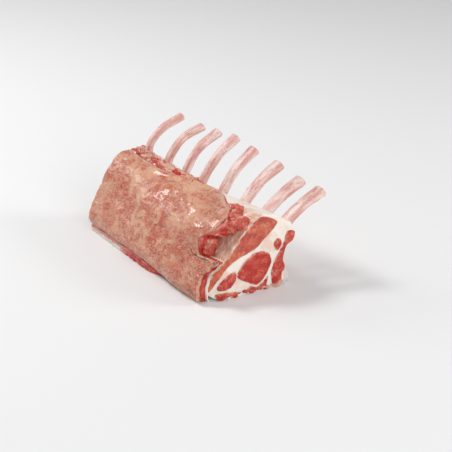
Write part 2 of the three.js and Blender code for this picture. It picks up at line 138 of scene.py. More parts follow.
def normals_of(grid: np.ndarray) -> np.ndarray:
    """Gives unit normals of a grid of points: the cross product of its row and column slopes.

    Args:
        grid: rows by columns by 3.

    Returns:
        An array of the same shape.
    """
    rows, columns = np.gradient(grid, axis=0), np.gradient(grid, axis=1)
    normal = np.cross(rows, columns)
    return unit(normal)


def unit(vectors: np.ndarray) -> np.ndarray:
    """Returns vectors scaled to length 1."""
    return vectors / np.maximum(np.linalg.norm(vectors, axis=-1, keepdims=True), LEAST)


def running_length(points: np.ndarray) -> np.ndarray:
    """Returns the distance along a line of points, 0 at its first."""
    return np.concatenate([[0], np.cumsum(np.linalg.norm(np.diff(points, axis=0), axis=-1))])


def from_nearest_rib(x: np.ndarray) -> np.ndarray:
    """Returns x measured from the nearest rib's middle."""
    return (x - FIRST_RIB_X + RIB_PITCH / 2) % RIB_PITCH - RIB_PITCH / 2


class Noise:
    """Gradient noise in space: smooth, between about -1 and 1, and the same at every run."""

    TABLE = 256
    HEIGHT = 1.8
    OCTAVE_SHIFT = 17.3

    def __init__(self, seed: int) -> None:
        """Draws the table of gradients and the order in which lattice points take them."""
        rng = np.random.default_rng(seed)
        self.gradients = unit(rng.normal(size=(self.TABLE, 3)))
        self.order = rng.permutation(self.TABLE)

    def at(self, points: np.ndarray) -> np.ndarray:
        """Works out the noise: each lattice corner's gradient dotted with the offset, faded between.

        Args:
            points: where to work it out, in lattice cells.

        Returns:
            One number a point.
        """
        last = self.TABLE - 1
        cell = np.floor(points).astype(np.int64)
        part = points - cell
        fade = part**3 * (part * (part * 6 - 15) + 10)
        total = np.zeros(points.shape[:-1])
        for corner in product((0, 1), repeat=3):
            x, y, z = (cell[..., i] + corner[i] for i in range(3))
            pick = self.order[(self.order[(self.order[x & last] + y) & last] + z) & last]
            weight = np.ones(points.shape[:-1])
            for axis in range(3):
                weight = weight * (fade[..., axis] if corner[axis] else 1 - fade[..., axis])
            total += weight * np.sum(self.gradients[pick] * (part - np.array(corner)), axis=-1)
        return self.HEIGHT * total

    def layered(
        self, points: np.ndarray, size: float | tuple, octaves: int = 3, gain: float = 0.5
    ) -> np.ndarray:
        """Sums octaves of noise, each half the size of the one before and gain times its height.

        Args:
            points: where to work it out, in millimetres.
            size: the first octave's feature size, one number or one for each axis.
            octaves: how many to sum.
            gain: each octave's height as a share of the one before.

        Returns:
            The sum, one number a point.
        """
        scaled = points / np.asarray(size, float)
        return sum(gain**i * self.at(scaled * 2**i + self.OCTAVE_SHIFT * i) for i in range(octaves))


# ---- The rack's sections ----
@dataclass(frozen=True)
class Station:
    """One section across the rack: outline points as (y, z), millimetres."""

    x: float
    outer: tuple
    inner: tuple
    back: tuple


STATIONS = (
    Station(
        0.0,
        (
            (-17, 0), (-20, 11), (-12, 24), (-4.5, 37), (0, 50),
            (8, 61), (20, 69.5), (34, 74.5), (48, 73),
        ),
        (
            (-6, 3), (-12.5, 12.5), (-3, 30), (5, 38.5), (13, 47),
            (22, 58), (31, 67.5), (41, 72.5), (50, 71),
        ),
        (
            (58, 68), (73, 58), (75, 50), (73.7, 42), (67, 37.5), (63.5, 26),
            (71, 8), (71, 1.5), (62, 0), (30, 0), (4, 0),
        ),
    ),
    Station(
        -25.0,
        (
            (-20, 0), (-24, 13), (-17, 27), (-11, 40), (-6, 53),
            (5, 64), (18, 70), (32, 72.5), (48, 70.5),
        ),
        (
            (-6, 3), (-14, 13), (-5, 28), (4, 38), (11, 47),
            (19, 58), (27, 65.5), (37, 70.5), (50, 68.5),
        ),
        (
            (57, 66.5), (69, 58.5), (70, 51), (66, 43), (61, 37), (58.7, 26),
            (66, 8), (66, 1.5), (57, 0), (28, 0), (3, 0),
        ),
    ),
    Station(
        -100.0,
        (
            (-20, 0), (-27, 13), (-23, 28), (-16, 42), (-9, 56),
            (5, 67), (20, 71.5), (34, 71), (50, 64.5),
        ),
        (
            (-7, 1), (-15, 13), (-11, 27), (-4, 40), (3, 52),
            (14, 62), (24, 66.5), (36, 67), (47, 63),
        ),
        (
            (52, 61), (56, 57), (55, 51), (51, 45), (48, 38), (45, 26),
            (51, 8), (51, 1.5), (43, 0), (20, 0), (0, 0),
        ),
    ),
    Station(
        -RACK_LENGTH,
        (
            (-22, 0), (-29, 12), (-28, 26), (-20, 41), (-11, 56),
            (-1, 69), (12, 75), (24, 76.5), (36, 77.5),
        ),
        (
            (-10, 1), (-19, 12), (-18, 26), (-10, 40), (-1, 54),
            (7, 64), (16, 69), (26, 71.5), (35, 72),
        ),
        (
            (39, 70), (40, 65), (39, 60), (36, 54), (34, 46), (32, 30),
            (38, 9), (38, 1.5), (31, 0), (14, 0), (-6, 0),
        ),
    ),
)


class Outline(Enum):
    """The outlines that a section has."""

    OUTER = "outer"
    INNER = "inner"
    LOIN = "loin"


class Sections:
    """Reads points off the stations' outlines at any place along the rack."""

    WINDOW = 14.0
    WINDOW_PLACES = (-1.0, -0.5, 0.0, 0.5, 1.0)

    def __init__(self) -> None:
        """Gathers the stations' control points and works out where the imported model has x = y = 0."""
        self.places = np.array([s.x for s in STATIONS])
        self.control = {
            Outline.OUTER: [np.array(s.outer, float) for s in STATIONS],
            Outline.INNER: [np.array(s.inner, float) for s in STATIONS],
            Outline.LOIN: [np.array(s.inner + s.back, float) for s in STATIONS],
        }
        self.loin_count = len(self.control[Outline.LOIN][0])
        around = np.arange(0, self.loin_count, 0.5)
        lowest = min(through(c, around, closed=True)[:, 0].min() for c in self.control[Outline.LOIN])
        fat_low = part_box("seam_fat")[0]
        self.shift = np.array([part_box("eye_muscle")[1][0], fat_low[1] - lowest * MM, fat_low[2]])

    def blend(self, x: np.ndarray) -> list:
        """Gives each station's weight at x: straight-line weights averaged over a short window.

        Args:
            x: places along the rack, millimetres.

        Returns:
            One array of weights a station.
        """
        reach = np.minimum(self.WINDOW, np.minimum(np.abs(x), np.abs(x + RACK_LENGTH)))
        total = [0.0] * len(STATIONS)
        for offset in self.WINDOW_PLACES:
            place = np.clip(x + offset * reach, -RACK_LENGTH, 0.0)
            for i in range(len(STATIONS)):
                tent = np.interp(place, self.places[::-1], np.eye(len(STATIONS))[i][::-1])
                total[i] = total[i] + tent / len(self.WINDOW_PLACES)
        return total

    def point(self, outline: Outline, x: np.ndarray, t: np.ndarray) -> np.ndarray:
        """Gives (y, z) on an outline.

        Args:
            outline: which outline.
            x: places along the rack, millimetres.
            t: places round the outline, counted in control points, of the same shape.

        Returns:
            An array of x's shape with a last axis of 2.
        """
        closed = outline is Outline.LOIN
        weights = self.blend(x)
        pairs = zip(weights, self.control[outline])
        return sum(np.asarray(w)[..., None] * through(c, t, closed) for w, c in pairs)

    def place(self, points: np.ndarray) -> np.ndarray:
        """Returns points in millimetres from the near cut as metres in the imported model's frame."""
        return points * MM + self.shift


def cut_face(y: np.ndarray) -> np.ndarray:
    """Returns x of the near cut at y: square, but falling back towards the cap."""
    return -CUT_RECESS * smooth((CUT_RECESS_FROM - y) / CUT_RECESS_OVER)


# ---- Meshes ----
class Patchwork:
    """Gathers grids of points into one mesh whose touching edges are welded."""

    WELD = 2e-6
    FLOOR = 0.02

    def __init__(self, name: str, sections: Sections) -> None:
        """Starts an empty patchwork.

        Args:
            name: the piece's name.
            sections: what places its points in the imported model.
        """
        self.name = name
        self.sections = sections
        self.points: list = []
        self.faces: list = []
        self.marks: dict = {}
        self.count = 0

    def grid(self, points: np.ndarray, **marks: np.ndarray) -> None:
        """Adds a grid of points as quads.

        Args:
            points: rows by columns by 3, millimetres from the near cut.
            marks: named numbers for each point, which the finishes read.
        """
        rows, columns = points.shape[:2]
        points = np.concatenate([points[..., :2], np.maximum(points[..., 2:], self.FLOOR)], axis=-1)
        index = np.arange(rows * columns).reshape(rows, columns) + self.count
        quads = np.stack([index[:-1, :-1], index[1:, :-1], index[1:, 1:], index[:-1, 1:]], axis=-1)
        self.faces.append(quads.reshape(-1, 4))
        self.points.append(self.sections.place(points).reshape(-1, 3))
        for key in dict.fromkeys((*self.marks, *marks)):
            filled = np.broadcast_to(marks.get(key, 0.0), (rows, columns)).ravel()
            self.marks.setdefault(key, [np.zeros(self.count)] if self.count else []).append(filled)
        self.count += rows * columns

    def piece(self) -> bpy.types.Object:
        """Returns the mesh object, with shared points welded, faces outward and smooth shading."""
        points = np.concatenate(self.points)
        keys = np.round(points / self.WELD).astype(np.int64)
        _, first, same = np.unique(keys, axis=0, return_index=True, return_inverse=True)
        quads, triangles = self.split(same.ravel()[np.concatenate(self.faces)])
        mesh = bpy.data.meshes.new(self.name)
        mesh.vertices.add(len(first))
        mesh.vertices.foreach_set("co", points[first].astype(np.float32).ravel())
        corners = np.concatenate([quads.ravel(), triangles.ravel()])
        sizes = np.concatenate([np.full(len(quads), 4), np.full(len(triangles), 3)])
        mesh.loops.add(len(corners))
        mesh.loops.foreach_set("vertex_index", corners.astype(np.int32))
        mesh.polygons.add(len(sizes))
        starts = np.concatenate([[0], np.cumsum(sizes)[:-1]])
        mesh.polygons.foreach_set("loop_start", starts.astype(np.int32))
        mesh.polygons.foreach_set("use_smooth", np.ones(len(sizes), bool))
        for key, parts in self.marks.items():
            layer = mesh.attributes.new(key, "FLOAT", "POINT")
            layer.data.foreach_set("value", np.concatenate(parts)[first].astype(np.float32))
        mesh.update(calc_edges=True)
        built = bmesh.new()
        built.from_mesh(mesh)
        bmesh.ops.recalc_face_normals(built, faces=built.faces)
        built.to_mesh(mesh)
        built.free()
        loose = 2 * len(mesh.edges) - len(mesh.loops)
        LOG.info("%s: %d triangles, %d loose", self.name, 2 * len(quads) + len(triangles), loose)
        piece = bpy.data.objects.new(self.name, mesh)
        bpy.context.scene.collection.objects.link(piece)
        return piece

    @staticmethod
    def split(faces: np.ndarray) -> tuple:
        """Sorts quads whose corners may have been welded together.

        Args:
            faces: four vertex numbers a row.

        Returns:
            The true quads, and the triangles left of quads with two corners welded together.
        """
        alike = faces == np.roll(faces, -1, axis=1)
        crossed = (faces[:, 0] == faces[:, 2]) | (faces[:, 1] == faces[:, 3])
        quads = faces[~alike.any(axis=1) & ~crossed]
        pinched = faces[(alike.sum(axis=1) == 1) & ~crossed]
        keep = pinched != np.roll(pinched, -1, axis=1)
        return quads, pinched[keep].reshape(-1, 3)


# ---- Shader maths ----
class Value:
    """A number or colour socket, with arithmetic that adds Math nodes."""

    def __init__(self, finish: "Finish", socket: bpy.types.NodeSocket) -> None:
        """Wraps a socket of the finish's node tree."""
        self.finish = finish
        self.socket = socket

    def _math(self, operation: str, *values: "Value | float") -> "Value":
        """Returns a Math node's result on this tree."""
        return self.finish.node("ShaderNodeMath", {"operation": operation}, dict(enumerate(values)))[0]

    def __add__(self, other: "Value | float") -> "Value":
        """Returns self + other."""
        return self._math("ADD", self, other)

    __radd__ = __add__

    def __mul__(self, other: "Value | float") -> "Value":
        """Returns self * other."""
        return self._math("MULTIPLY", self, other)

    __rmul__ = __mul__

    def __sub__(self, other: "Value | float") -> "Value":
        """Returns self - other."""
        return self._math("SUBTRACT", self, other)

    def __rsub__(self, other: "Value | float") -> "Value":
        """Returns other - self."""
        return self._math("SUBTRACT", other, self)

    def between(self, low: float, high: float) -> "Value":
        """Returns 0 below low, 1 above high and a smooth step between."""
        settings = {"interpolation_type": "SMOOTHSTEP"}
        return self.finish.node("ShaderNodeMapRange", settings, {0: self, 1: low, 2: high})[0]

    def size(self) -> "Value":
        """Returns the value without its sign."""
        return self._math("ABSOLUTE", self)


def tone(red: int, green: int, blue: int) -> tuple:
    """Returns a screen colour of 0 to 255 as linear light with alpha 1."""
    shares = [c / 255 for c in (red, green, blue)]
    return (*(c / 12.92 if c <= 0.04045 else ((c + 0.055) / 1.055) ** 2.4 for c in shares), 1.0)


def even(per_metre: float) -> tuple:
    """Returns the same number of features a metre on all three axes."""
    return (per_metre,) * 3


class Finish:
    """A material whose nodes are added by name; subclasses lay out one kind of surface."""

    SLOT: Slot
    SUBSURFACE: float
    SCATTER: tuple
    SCATTER_SCALE: float
    COAT: float
    COAT_ROUGHNESS: float
    DEPTHS: tuple
    IOR = 1.42

    def __init__(self) -> None:
        """Makes the material and its shader, with every constant on the shader's own sockets."""
        self.material = bpy.data.materials.new(self.SLOT.value)
        self.material.use_nodes = True
        self.tree = self.material.node_tree
        self.tree.nodes.clear()
        self.shader = self.tree.nodes.new("ShaderNodeBsdfPrincipled")
        output = self.tree.nodes.new("ShaderNodeOutputMaterial")
        self.tree.links.new(self.shader.outputs[0], output.inputs[0])
        self.set("Subsurface Weight", self.SUBSURFACE)
        self.set("Subsurface Radius", self.SCATTER)
        self.set("Subsurface Scale", self.SCATTER_SCALE)
        self.set("IOR", self.IOR)
        self.set("Coat Weight", self.COAT)
        self.set("Coat Roughness", self.COAT_ROUGHNESS)
        self.place = self.node("ShaderNodeTexCoord", {}, {}, output="Object")
        self.lay_out()

    def set(self, socket: str, value: Value | float | tuple) -> None:
        """Sets or links one of the shader's sockets."""
        self.join(self.shader.inputs[socket], value)

    def join(self, target: bpy.types.NodeSocket, value: Value | float | tuple) -> None:
        """Feeds a socket.

        Args:
            target: the socket.
            value: a Value to link to it, or what it is set to.
        """
        if isinstance(value, Value):
            self.tree.links.new(value.socket, target)
        else:
            target.default_value = value

    def node(
        self, kind: str, settings: dict, inputs: dict, output: str | int | None = None
    ) -> Value | list[Value]:
        """Adds a node.

        Args:
            kind: the node's type.
            settings: its properties, set before its sockets.
            inputs: values or links by socket name or number.
            output: the one output to give back.

        Returns:
            The named output as a Value, or all its enabled outputs as a list of Values.
        """
        made = self.tree.nodes.new(kind)
        for key, value in settings.items():
            setattr(made, key, value)
        for key, value in inputs.items():
            self.join(made.inputs[key], value)
        if output is not None:
            return Value(self, made.outputs[output])
        return [Value(self, o) for o in made.outputs if o.enabled]

    def mark(self, name: str) -> Value:
        """Returns a number that the piece carries at each point."""
        return self.node("ShaderNodeAttribute", {"attribute_name": name}, {}, output="Fac")

    def flow(self, *names: str) -> Value:
        """Returns a place made of the numbers that the piece carries, one for each axis in turn."""
        marks = {i: self.mark(name) for i, name in enumerate(names)}
        return self.node("ShaderNodeCombineXYZ", {}, marks)[0]

    def stretched(self, scale: tuple, turn: tuple = (0, 0, 0), vector: Value | None = None) -> Value:
        """Gives the place, turned and then scaled.

        Args:
            scale: features per metre on each axis.
            turn: the turn about each axis, radians.
            vector: a place other than the point's own.

        Returns:
            The scaled place.
        """
        inputs = {"Vector": self.place if vector is None else vector, "Rotation": turn}
        turned = self.node("ShaderNodeMapping", {"vector_type": "POINT"}, inputs)[0]
        return self.node("ShaderNodeVectorMath", {"operation": "MULTIPLY"}, {0: turned, 1: scale})[0]

    def grain(self, vector: Value, detail: float = 3.0, rough: float = 0.5, warp: float = 0.0) -> Value:
        """Gives noise between 0 and 1.

        Args:
            vector: the scaled place.
            detail: how many finer layers it has.
            rough: how strong they are.
            warp: how far it twists.

        Returns:
            The noise.
        """
        inputs = {"Vector": vector, "Scale": 1.0, "Detail": detail, "Roughness": rough, "Distortion": warp}
        return self.node("ShaderNodeTexNoise", {}, inputs, output="Fac")

    def blend(self, share: Value | float, first: Value | tuple, second: Value | tuple) -> Value:
        """Returns a colour share of the way from first to second."""
        inputs = {0: share, 6: first, 7: second}
        return self.node("ShaderNodeMix", {"data_type": "RGBA"}, inputs, output=2)

    def relief(self, *heights: Value) -> None:
        """Bumps the surface.

        Args:
            heights: one height for each of the finish's depths.
        """
        normal = None
        for height, depth in zip(heights, self.DEPTHS):
            inputs = {"Height": height, "Distance": depth, "Strength": 1.0}
            if normal is not None:
                inputs["Normal"] = normal
            normal = self.node("ShaderNodeBump", {}, inputs)[0]
        self.set("Normal", normal)

    def lay_out(self) -> None:
        """Adds the nodes of one kind of surface."""
        raise NotImplementedError


class Lean(Finish):
    """Wet red meat: bundles of fibre, darker streaks and threads of fat."""

    SLOT = Slot.LEAN
    SUBSURFACE = 0.35
    SCATTER = (1.0, 0.22, 0.14)
    SCATTER_SCALE = 0.003
    COAT = 0.5
    COAT_ROUGHNESS = 0.12
    RED = tone(188, 26, 12)
    DEEP = tone(138, 10, 6)
    BRIGHT = tone(214, 72, 46)
    FAT = tone(232, 186, 164)
    WHITE = tone(234, 222, 212)
    WARM = tone(226, 116, 66)
    THREADS = 0.5
    STRANDS = 0.25
    BROAD_SIZE = even(130.0)
    FIBRE_SIZE = (260.0, 700.0, 420.0)
    THREAD_SIZE = (190.0, 190.0, 320.0)
    STRAND_SIZE = (1.1, 0.16, 1.0)
    FINE_SIZE = even(1500.0)
    FIBRE_TURN = (0.6, 0.0, 0.0)
    THREAD_TURN = (0.9, 0.0, 0.0)
    DEPTHS = (0.0016, 0.0013, 0.0008, 0.0003)

    def lay_out(self) -> None:
        """Blends the reds by noise at three sizes and draws thin pale threads where a noise is level."""
        broad = self.grain(self.stretched(self.BROAD_SIZE), detail=3.0, warp=0.4)
        flow = self.flow("across", "along")
        strands = self.grain(self.stretched(self.STRAND_SIZE, vector=flow), detail=4.0, rough=0.6, warp=0.4)
        bundles = self.grain(self.stretched(self.FIBRE_SIZE, self.FIBRE_TURN), detail=4.0, rough=0.6)
        threads = self.grain(self.stretched(self.THREAD_SIZE, self.THREAD_TURN), detail=4.0, warp=0.8)
        colour = self.blend(broad.between(0.36, 0.66), self.RED, self.BRIGHT)
        colour = self.blend(bundles.between(0.5, 0.7) * 0.6, colour, self.DEEP)
        colour = self.blend(strands.between(0.5, 0.68) * self.STRANDS, colour, self.DEEP)
        colour = self.blend(strands.between(0.44, 0.3) * self.STRANDS, colour, self.BRIGHT)
        line = 1.0 - (threads - 0.5).size().between(0.006, 0.03)
        colour = self.blend(line * broad.between(0.42, 0.6) * self.THREADS, colour, self.FAT)
        # The warm and pale marks are mostly the meat's own orange and fat. On the bare lean behind the cap
        # fat's front edge they are painted light that lifts its shade.
        colour = self.blend(self.mark("warm") * strands.between(0.42, 0.58) * 0.8, colour, self.WARM)
        colour = self.blend(self.mark("pale"), colour, self.FAT)
        colour = self.blend(self.mark("pale").between(0.86, 1.0), colour, self.WHITE)
        self.set("Base Color", colour)
        self.set("Roughness", bundles * 0.3 + 0.28)
        fine = self.grain(self.stretched(self.FINE_SIZE), detail=2.0)
        self.relief(broad, bundles, strands, fine)


class PaleLean(Lean):
    """Paler, browner meat, orange and fibrous towards the thin end of a muscle."""

    SLOT = Slot.PALE_LEAN
    RED = tone(196, 76, 60)
    DEEP = tone(160, 36, 30)
    BRIGHT = tone(220, 112, 74)
    THREADS = 0.35
    STRANDS = 0.7
    FIBRE_SIZE = (200.0, 900.0, 260.0)


class SeamFat(Finish):
    """Smooth creamy fat, stained pink here and there, and streaky where a membrane was pulled away."""

    SLOT = Slot.SEAM_FAT
    SUBSURFACE = 0.5
    SCATTER = (1.0, 0.62, 0.45)
    SCATTER_SCALE = 0.004
    COAT = 0.35
    COAT_ROUGHNESS = 0.2
    CREAM = tone(238, 229, 218)
    STAIN = tone(228, 180, 166)
    MEMBRANE = tone(224, 184, 162)
    STREAK = tone(206, 116, 84)
    CARTILAGE = tone(214, 203, 203)
    BROAD_SIZE = even(70.0)
    SMALL_SIZE = even(500.0)
    TORN_SIZE = (480.0, 130.0, 130.0)
    TORN_TURN = (0.0, 0.3, 0.0)
    DEPTHS = (0.001, 0.0004, 0.0004)

    def lay_out(self) -> None:
        """Blends cream to a pink stain by broad noise, and to streaks where the piece is marked."""
        broad = self.grain(self.stretched(self.BROAD_SIZE), detail=3.0)
        small = self.grain(self.stretched(self.SMALL_SIZE), detail=3.0)
        torn = self.stretched(self.TORN_SIZE, self.TORN_TURN)
        streaks = self.grain(torn, detail=5.0, rough=0.65, warp=1.4)
        colour = self.blend(broad.between(0.48, 0.7) * 0.65, self.CREAM, self.STAIN)
        membrane = self.blend(streaks.between(0.42, 0.7), self.MEMBRANE, self.STREAK)
        membrane = self.blend(streaks.between(0.5, 0.3), membrane, self.CREAM)
        colour = self.blend(self.mark("membrane"), colour, membrane)
        self.set("Roughness", small * 0.25 + 0.28)
        colour = self.blend(self.mark("knob"), colour, self.CARTILAGE)
        self.set("Base Color", colour)
        self.relief(broad, small, streaks)


class CapFat(Finish):
    """The cap's outer fat: peach to cream, with red blotches, blood spots, a wet shine and painted shade
    towards the board.
    """

    SLOT = Slot.CAP_FAT
    SUBSURFACE = 0.45
    SCATTER = (1.0, 0.5, 0.36)
    SCATTER_SCALE = 0.004
    COAT = 0.45
    COAT_ROUGHNESS = 0.18
    PEACH = tone(206, 112, 80)
    CREAM = tone(232, 172, 136)
    BLOTCH = tone(200, 82, 54)
    # ROSE here is painted shade, laid on the fat near the board by the low mark.
    ROSE = tone(192, 94, 66)
    BLOOD = tone(176, 30, 16)
    EDGE = tone(232, 196, 172)
    BROAD_SIZE = even(26.0)
    PATCH_SIZE = even(48.0)
    MOTTLE_SIZE = even(210.0)
    VEIN_SIZE = (48.0, 150.0, 150.0)
    VEIN_TURN = (0.0, 0.5, 0.3)
    FINE_SIZE = even(620.0)
    DEPTHS = (0.0026, 0.0018, 0.0026, 0.0012)

    def lay_out(self) -> None:
        """Blends by noise from broad patches down to small spots, and paints shade where the low mark is
        high.
        """
        broad = self.grain(self.stretched(self.BROAD_SIZE), detail=3.0, rough=0.5, warp=0.6)
        patches = self.grain(self.stretched(self.PATCH_SIZE), detail=5.0, rough=0.6, warp=1.1)
        mottle = self.grain(self.stretched(self.MOTTLE_SIZE), detail=5.0, rough=0.65)
        drawn = self.stretched(self.VEIN_SIZE, self.VEIN_TURN)
        veins = self.grain(drawn, detail=5.0, rough=0.62, warp=1.6)
        spots = self.grain(self.stretched(self.MOTTLE_SIZE), detail=1.0)
        colour = self.blend(patches.between(0.44, 0.56), self.PEACH, self.CREAM)
        colour = self.blend(broad.between(0.52, 0.6) * 0.55, colour, self.BLOTCH)
        # Painted shade: rosier and darker near the board and towards both ends, where the low mark is high.
        colour = self.blend(self.mark("low") * 0.6, colour, self.ROSE)
        colour = self.blend(mottle.between(0.54, 0.7) * 0.14, colour, self.BLOTCH)
        thread = 1.0 - (veins - 0.5).size().between(0.006, 0.045)
        colour = self.blend(thread * 0.6, colour, self.EDGE)
        colour = self.blend(veins.between(0.58, 0.68) * 0.2, colour, self.BLOTCH)
        colour = self.blend(mottle.between(0.43, 0.3) * 0.6, colour, self.EDGE)
        colour = self.blend(spots.between(0.73, 0.78) * broad.between(0.42, 0.54), colour, self.BLOOD)
        colour = self.blend(self.mark("edge") * 0.8, colour, self.EDGE)
        self.set("Base Color", colour)
        self.set("Roughness", mottle * 0.5 + 0.1)
        fine = self.grain(self.stretched(self.FINE_SIZE), detail=4.0)
        self.relief(patches, veins, mottle, fine)


class Bone(Finish):
    """Scraped rib bone: pinkish white with red streaks along it, and a bluish head of cartilage."""

    SLOT = Slot.BONE
    SUBSURFACE = 0.3
    SCATTER = (1.0, 0.5, 0.4)
    SCATTER_SCALE = 0.003
    COAT = 0.25
    COAT_ROUGHNESS = 0.25
    PALE = tone(236, 212, 204)
    ROSE = tone(216, 160, 150)
    STREAK = tone(160, 48, 46)
    MARROW = tone(206, 120, 106)
    CARTILAGE = tone(214, 206, 208)
    STREAK_SIZE = (3.6, 3.6, 0.12)
    BROAD_SIZE = (0.9, 0.9, 0.04)
    SMALL_SIZE = even(600.0)
    DEPTHS = (0.0008, 0.0003)

    def lay_out(self) -> None:
        """Blends by noise drawn out along the bone."""
        flow = self.flow("turn", "across", "along")
        drawn = self.stretched(self.STREAK_SIZE, vector=flow)
        streaks = self.grain(drawn, detail=5.0, rough=0.65, warp=0.3)
        broad = self.grain(self.stretched(self.BROAD_SIZE, vector=flow), detail=3.0)
        small = self.grain(self.stretched(self.SMALL_SIZE), detail=3.0)
        colour = self.blend(broad.between(0.38, 0.64), self.PALE, self.ROSE)
        colour = self.blend(streaks.between(0.53, 0.68) * 0.6, colour, self.STREAK)
        colour = self.blend(small.between(0.55, 0.72) * 0.4, colour, self.STREAK)
        colour = self.blend(self.mark("cut") * small.between(0.3, 0.6) * 0.6, colour, self.MARROW)
        colour = self.blend(self.mark("head"), colour, self.CARTILAGE)
        self.set("Base Color", colour)
        self.set("Roughness", small * 0.3 + 0.28)
        self.relief(streaks, small)


# ---- Sub-assemblies ----
@dataclass
class Part:
    """One sub-assembly: it builds its meshes, then dresses them."""

    sections: Sections
    noise: Noise
    pieces: list = field(default_factory=list)

    def build(self) -> None:
        """Builds the meshes."""
        raise NotImplementedError

    def keep(self, patch: Patchwork, node: str, slot: Slot) -> None:
        """Makes the patchwork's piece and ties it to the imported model.

        Args:
            patch: the gathered grids.
            node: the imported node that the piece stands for.
            slot: what it is to be dressed in.
        """
        piece = patch.piece()
        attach(piece, "root")
        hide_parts(node)
        self.pieces.append((piece, slot))

    def dress(self, finishes: dict) -> None:
        """Gives every piece its finish.

        Args:
            finishes: the finish of each slot.
        """
        for piece, slot in self.pieces:
            piece.data.materials.append(finishes[slot].material)
            LOG.info("%s is dressed as %s", piece.name, slot.value)

    def face_x(self, y: np.ndarray, z: np.ndarray) -> np.ndarray:
        """Gives x of the near cut: the cut, gentle waves, and crumbling along the board.

        Args:
            y: places across the cut, millimetres.
            z: heights on the cut.

        Returns:
            One number a place.
        """
        at = np.stack([np.zeros_like(y), y, z], axis=-1)
        waves = CUT_WAVE * self.noise.at(at / CUT_WAVE_SIZE)
        crumbs = CRUMB_DEPTH * (self.noise.layered(at, CRUMB_SIZE, 3, 0.6) - CRUMB_MIDDLE)
        return cut_face(y) + waves + crumbs * smooth((CRUMB_TOP - z) / CRUMB_OVER)


def rim(first: np.ndarray, second: np.ndarray, inside: np.ndarray, bulge: float) -> np.ndarray:
    """Gives a rounded strip between two edges: straight across, plus bulge times a half circle outward.

    Args:
        first: points along one edge.
        second: points along the other.
        inside: points just inside the first edge, which set the way outward.
        bulge: the greatest push, as a share of the gap between the edges.

    Returns:
        A grid of points, one row a step across the gap.
    """
    share = ((1 - np.cos(np.pi * np.linspace(0, 1, RIM_STEPS))) / 2)[:, None, None]
    outward = unit(first - inside)
    gap = np.linalg.norm(second - first, axis=-1, keepdims=True)
    ends = np.linspace(0, 1, len(first))
    taper = (smooth(ends / RIM_TAPER) * smooth((1 - ends) / RIM_TAPER))[:, None]
    push = outward * gap * taper * bulge
    return first + (second - first) * share + push * np.sqrt(np.maximum(0, 1 - (2 * share - 1) ** 2))


def close_shell(
    patch: Patchwork, outside: np.ndarray, inside: np.ndarray, bulge: float, **marks: tuple
) -> None:
    """Adds two facing grids and rounded rims along their four edges.

    Args:
        patch: what they are added to.
        outside: the outer grid of points.
        inside: the inner one, of the same shape.
        bulge: how far the rims stand out, as a share of the gap.
        marks: by name, the numbers outside, inside and on the rims.
    """
    patch.grid(outside, **{k: v[0] for k, v in marks.items()})
    patch.grid(inside, **{k: v[1] for k, v in marks.items()})
    ends = ((0, 2), (-1, -3))
    columns = (((slice(None), edge), (slice(None), within)) for edge, within in ends)
    for edge, within in (*columns, *ends):
        cut = {k: np.broadcast_to(v[2], (RIM_STEPS, len(outside[edge]))) for k, v in marks.items()}
        patch.grid(rim(outside[edge], inside[edge], outside[within], bulge), **cut)


CAP_FRONT = (
    (0, -9), (0.12, -6), (0.3, -8.5), (0.4, -4), (0.455, 3),
    (0.475, -24), (0.56, -28.5), (0.75, -18.5), (0.88, -17.5), (1, -27),
)
CAP_TOP = 17.0
CAP_TOP_RISES = ((-80, 30, 36), (-18, 7, 22))
CAP_TOP_FROM, CAP_TOP_TO = 4.0, 8.0
LEAN_LUMPS = ((0.57, 7.0, 0.05), (0.72, 8.0, 0.05), (0.83, 9.0, 0.06))
LOBE_SIZE = 6.5
TRIM_SHARE = 0.12
TRIM_REACH = 1.2
TRIM_FROM = -95.0
TUCK_PLACES = (-50.0, -90.0)
TUCK_SHARE = 0.06
HALVINGS = 24
ABOVE_BOARD = 0.05
BITE_LUMPS = (
    ((-7, 24.5, 65.6), (7.5, 7.5, 5.2)),
    ((-13, 18.5, 61.2), (7, 6.5, 5.4)),
    ((-17, 25.5, 66.4), (8, 7, 5)),
    ((-20, 15.5, 58), (6.5, 6, 5.6)),
    ((-27, 12.5, 54.5), (7, 6, 6.6)),
    ((-24.5, 4.6, 46.6), (8.5, 6, 8.4)),
    ((-21.5, 1.4, 40.6), (7, 5.4, 7.6)),
    ((-29, 1.8, 41), (8, 5.6, 8.4)),
    ((-27, 33, 70.2), (9, 6.5, 3.6)),
)


def rough_ball(
    noise: Noise, centre: np.ndarray, size: np.ndarray, rough: float, rows: int, columns: int
) -> np.ndarray:
    """Gives a lumpy ball as a grid: sphere directions times size times 1 + rough * (lobes - creases).

    Args:
        noise: what the lobes are drawn from.
        centre: its middle, millimetres.
        size: its half widths.
        rough: how far the lobes stand out, as a share of its size.
        rows: rows of points from pole to pole.
        columns: points round it; the last is the first again.

    Returns:
        A grid of points.
    """
    up = np.linspace(-np.pi / 2, np.pi / 2, rows)[:, None]
    turn = np.linspace(0, 2 * np.pi, columns)[None, :]
    turn = np.where(turn >= 2 * np.pi - LEAST, 0.0, turn)
    way = np.stack([np.cos(up) * np.cos(turn), np.cos(up) * np.sin(turn), np.sin(up) + 0 * turn], -1)
    way[0, :], way[-1, :] = (0, 0, -1), (0, 0, 1)
    lobes = noise.layered(way * size + centre, LOBE_SIZE, 3, 0.4)
    swell = 1 + rough * (1.2 * lobes + 0.3 - 0.7 * hump(lobes, 0.1))
    points = centre + way * size * swell[..., None]
    points[..., 2] = np.maximum(points[..., 2], ABOVE_BOARD)
    return points


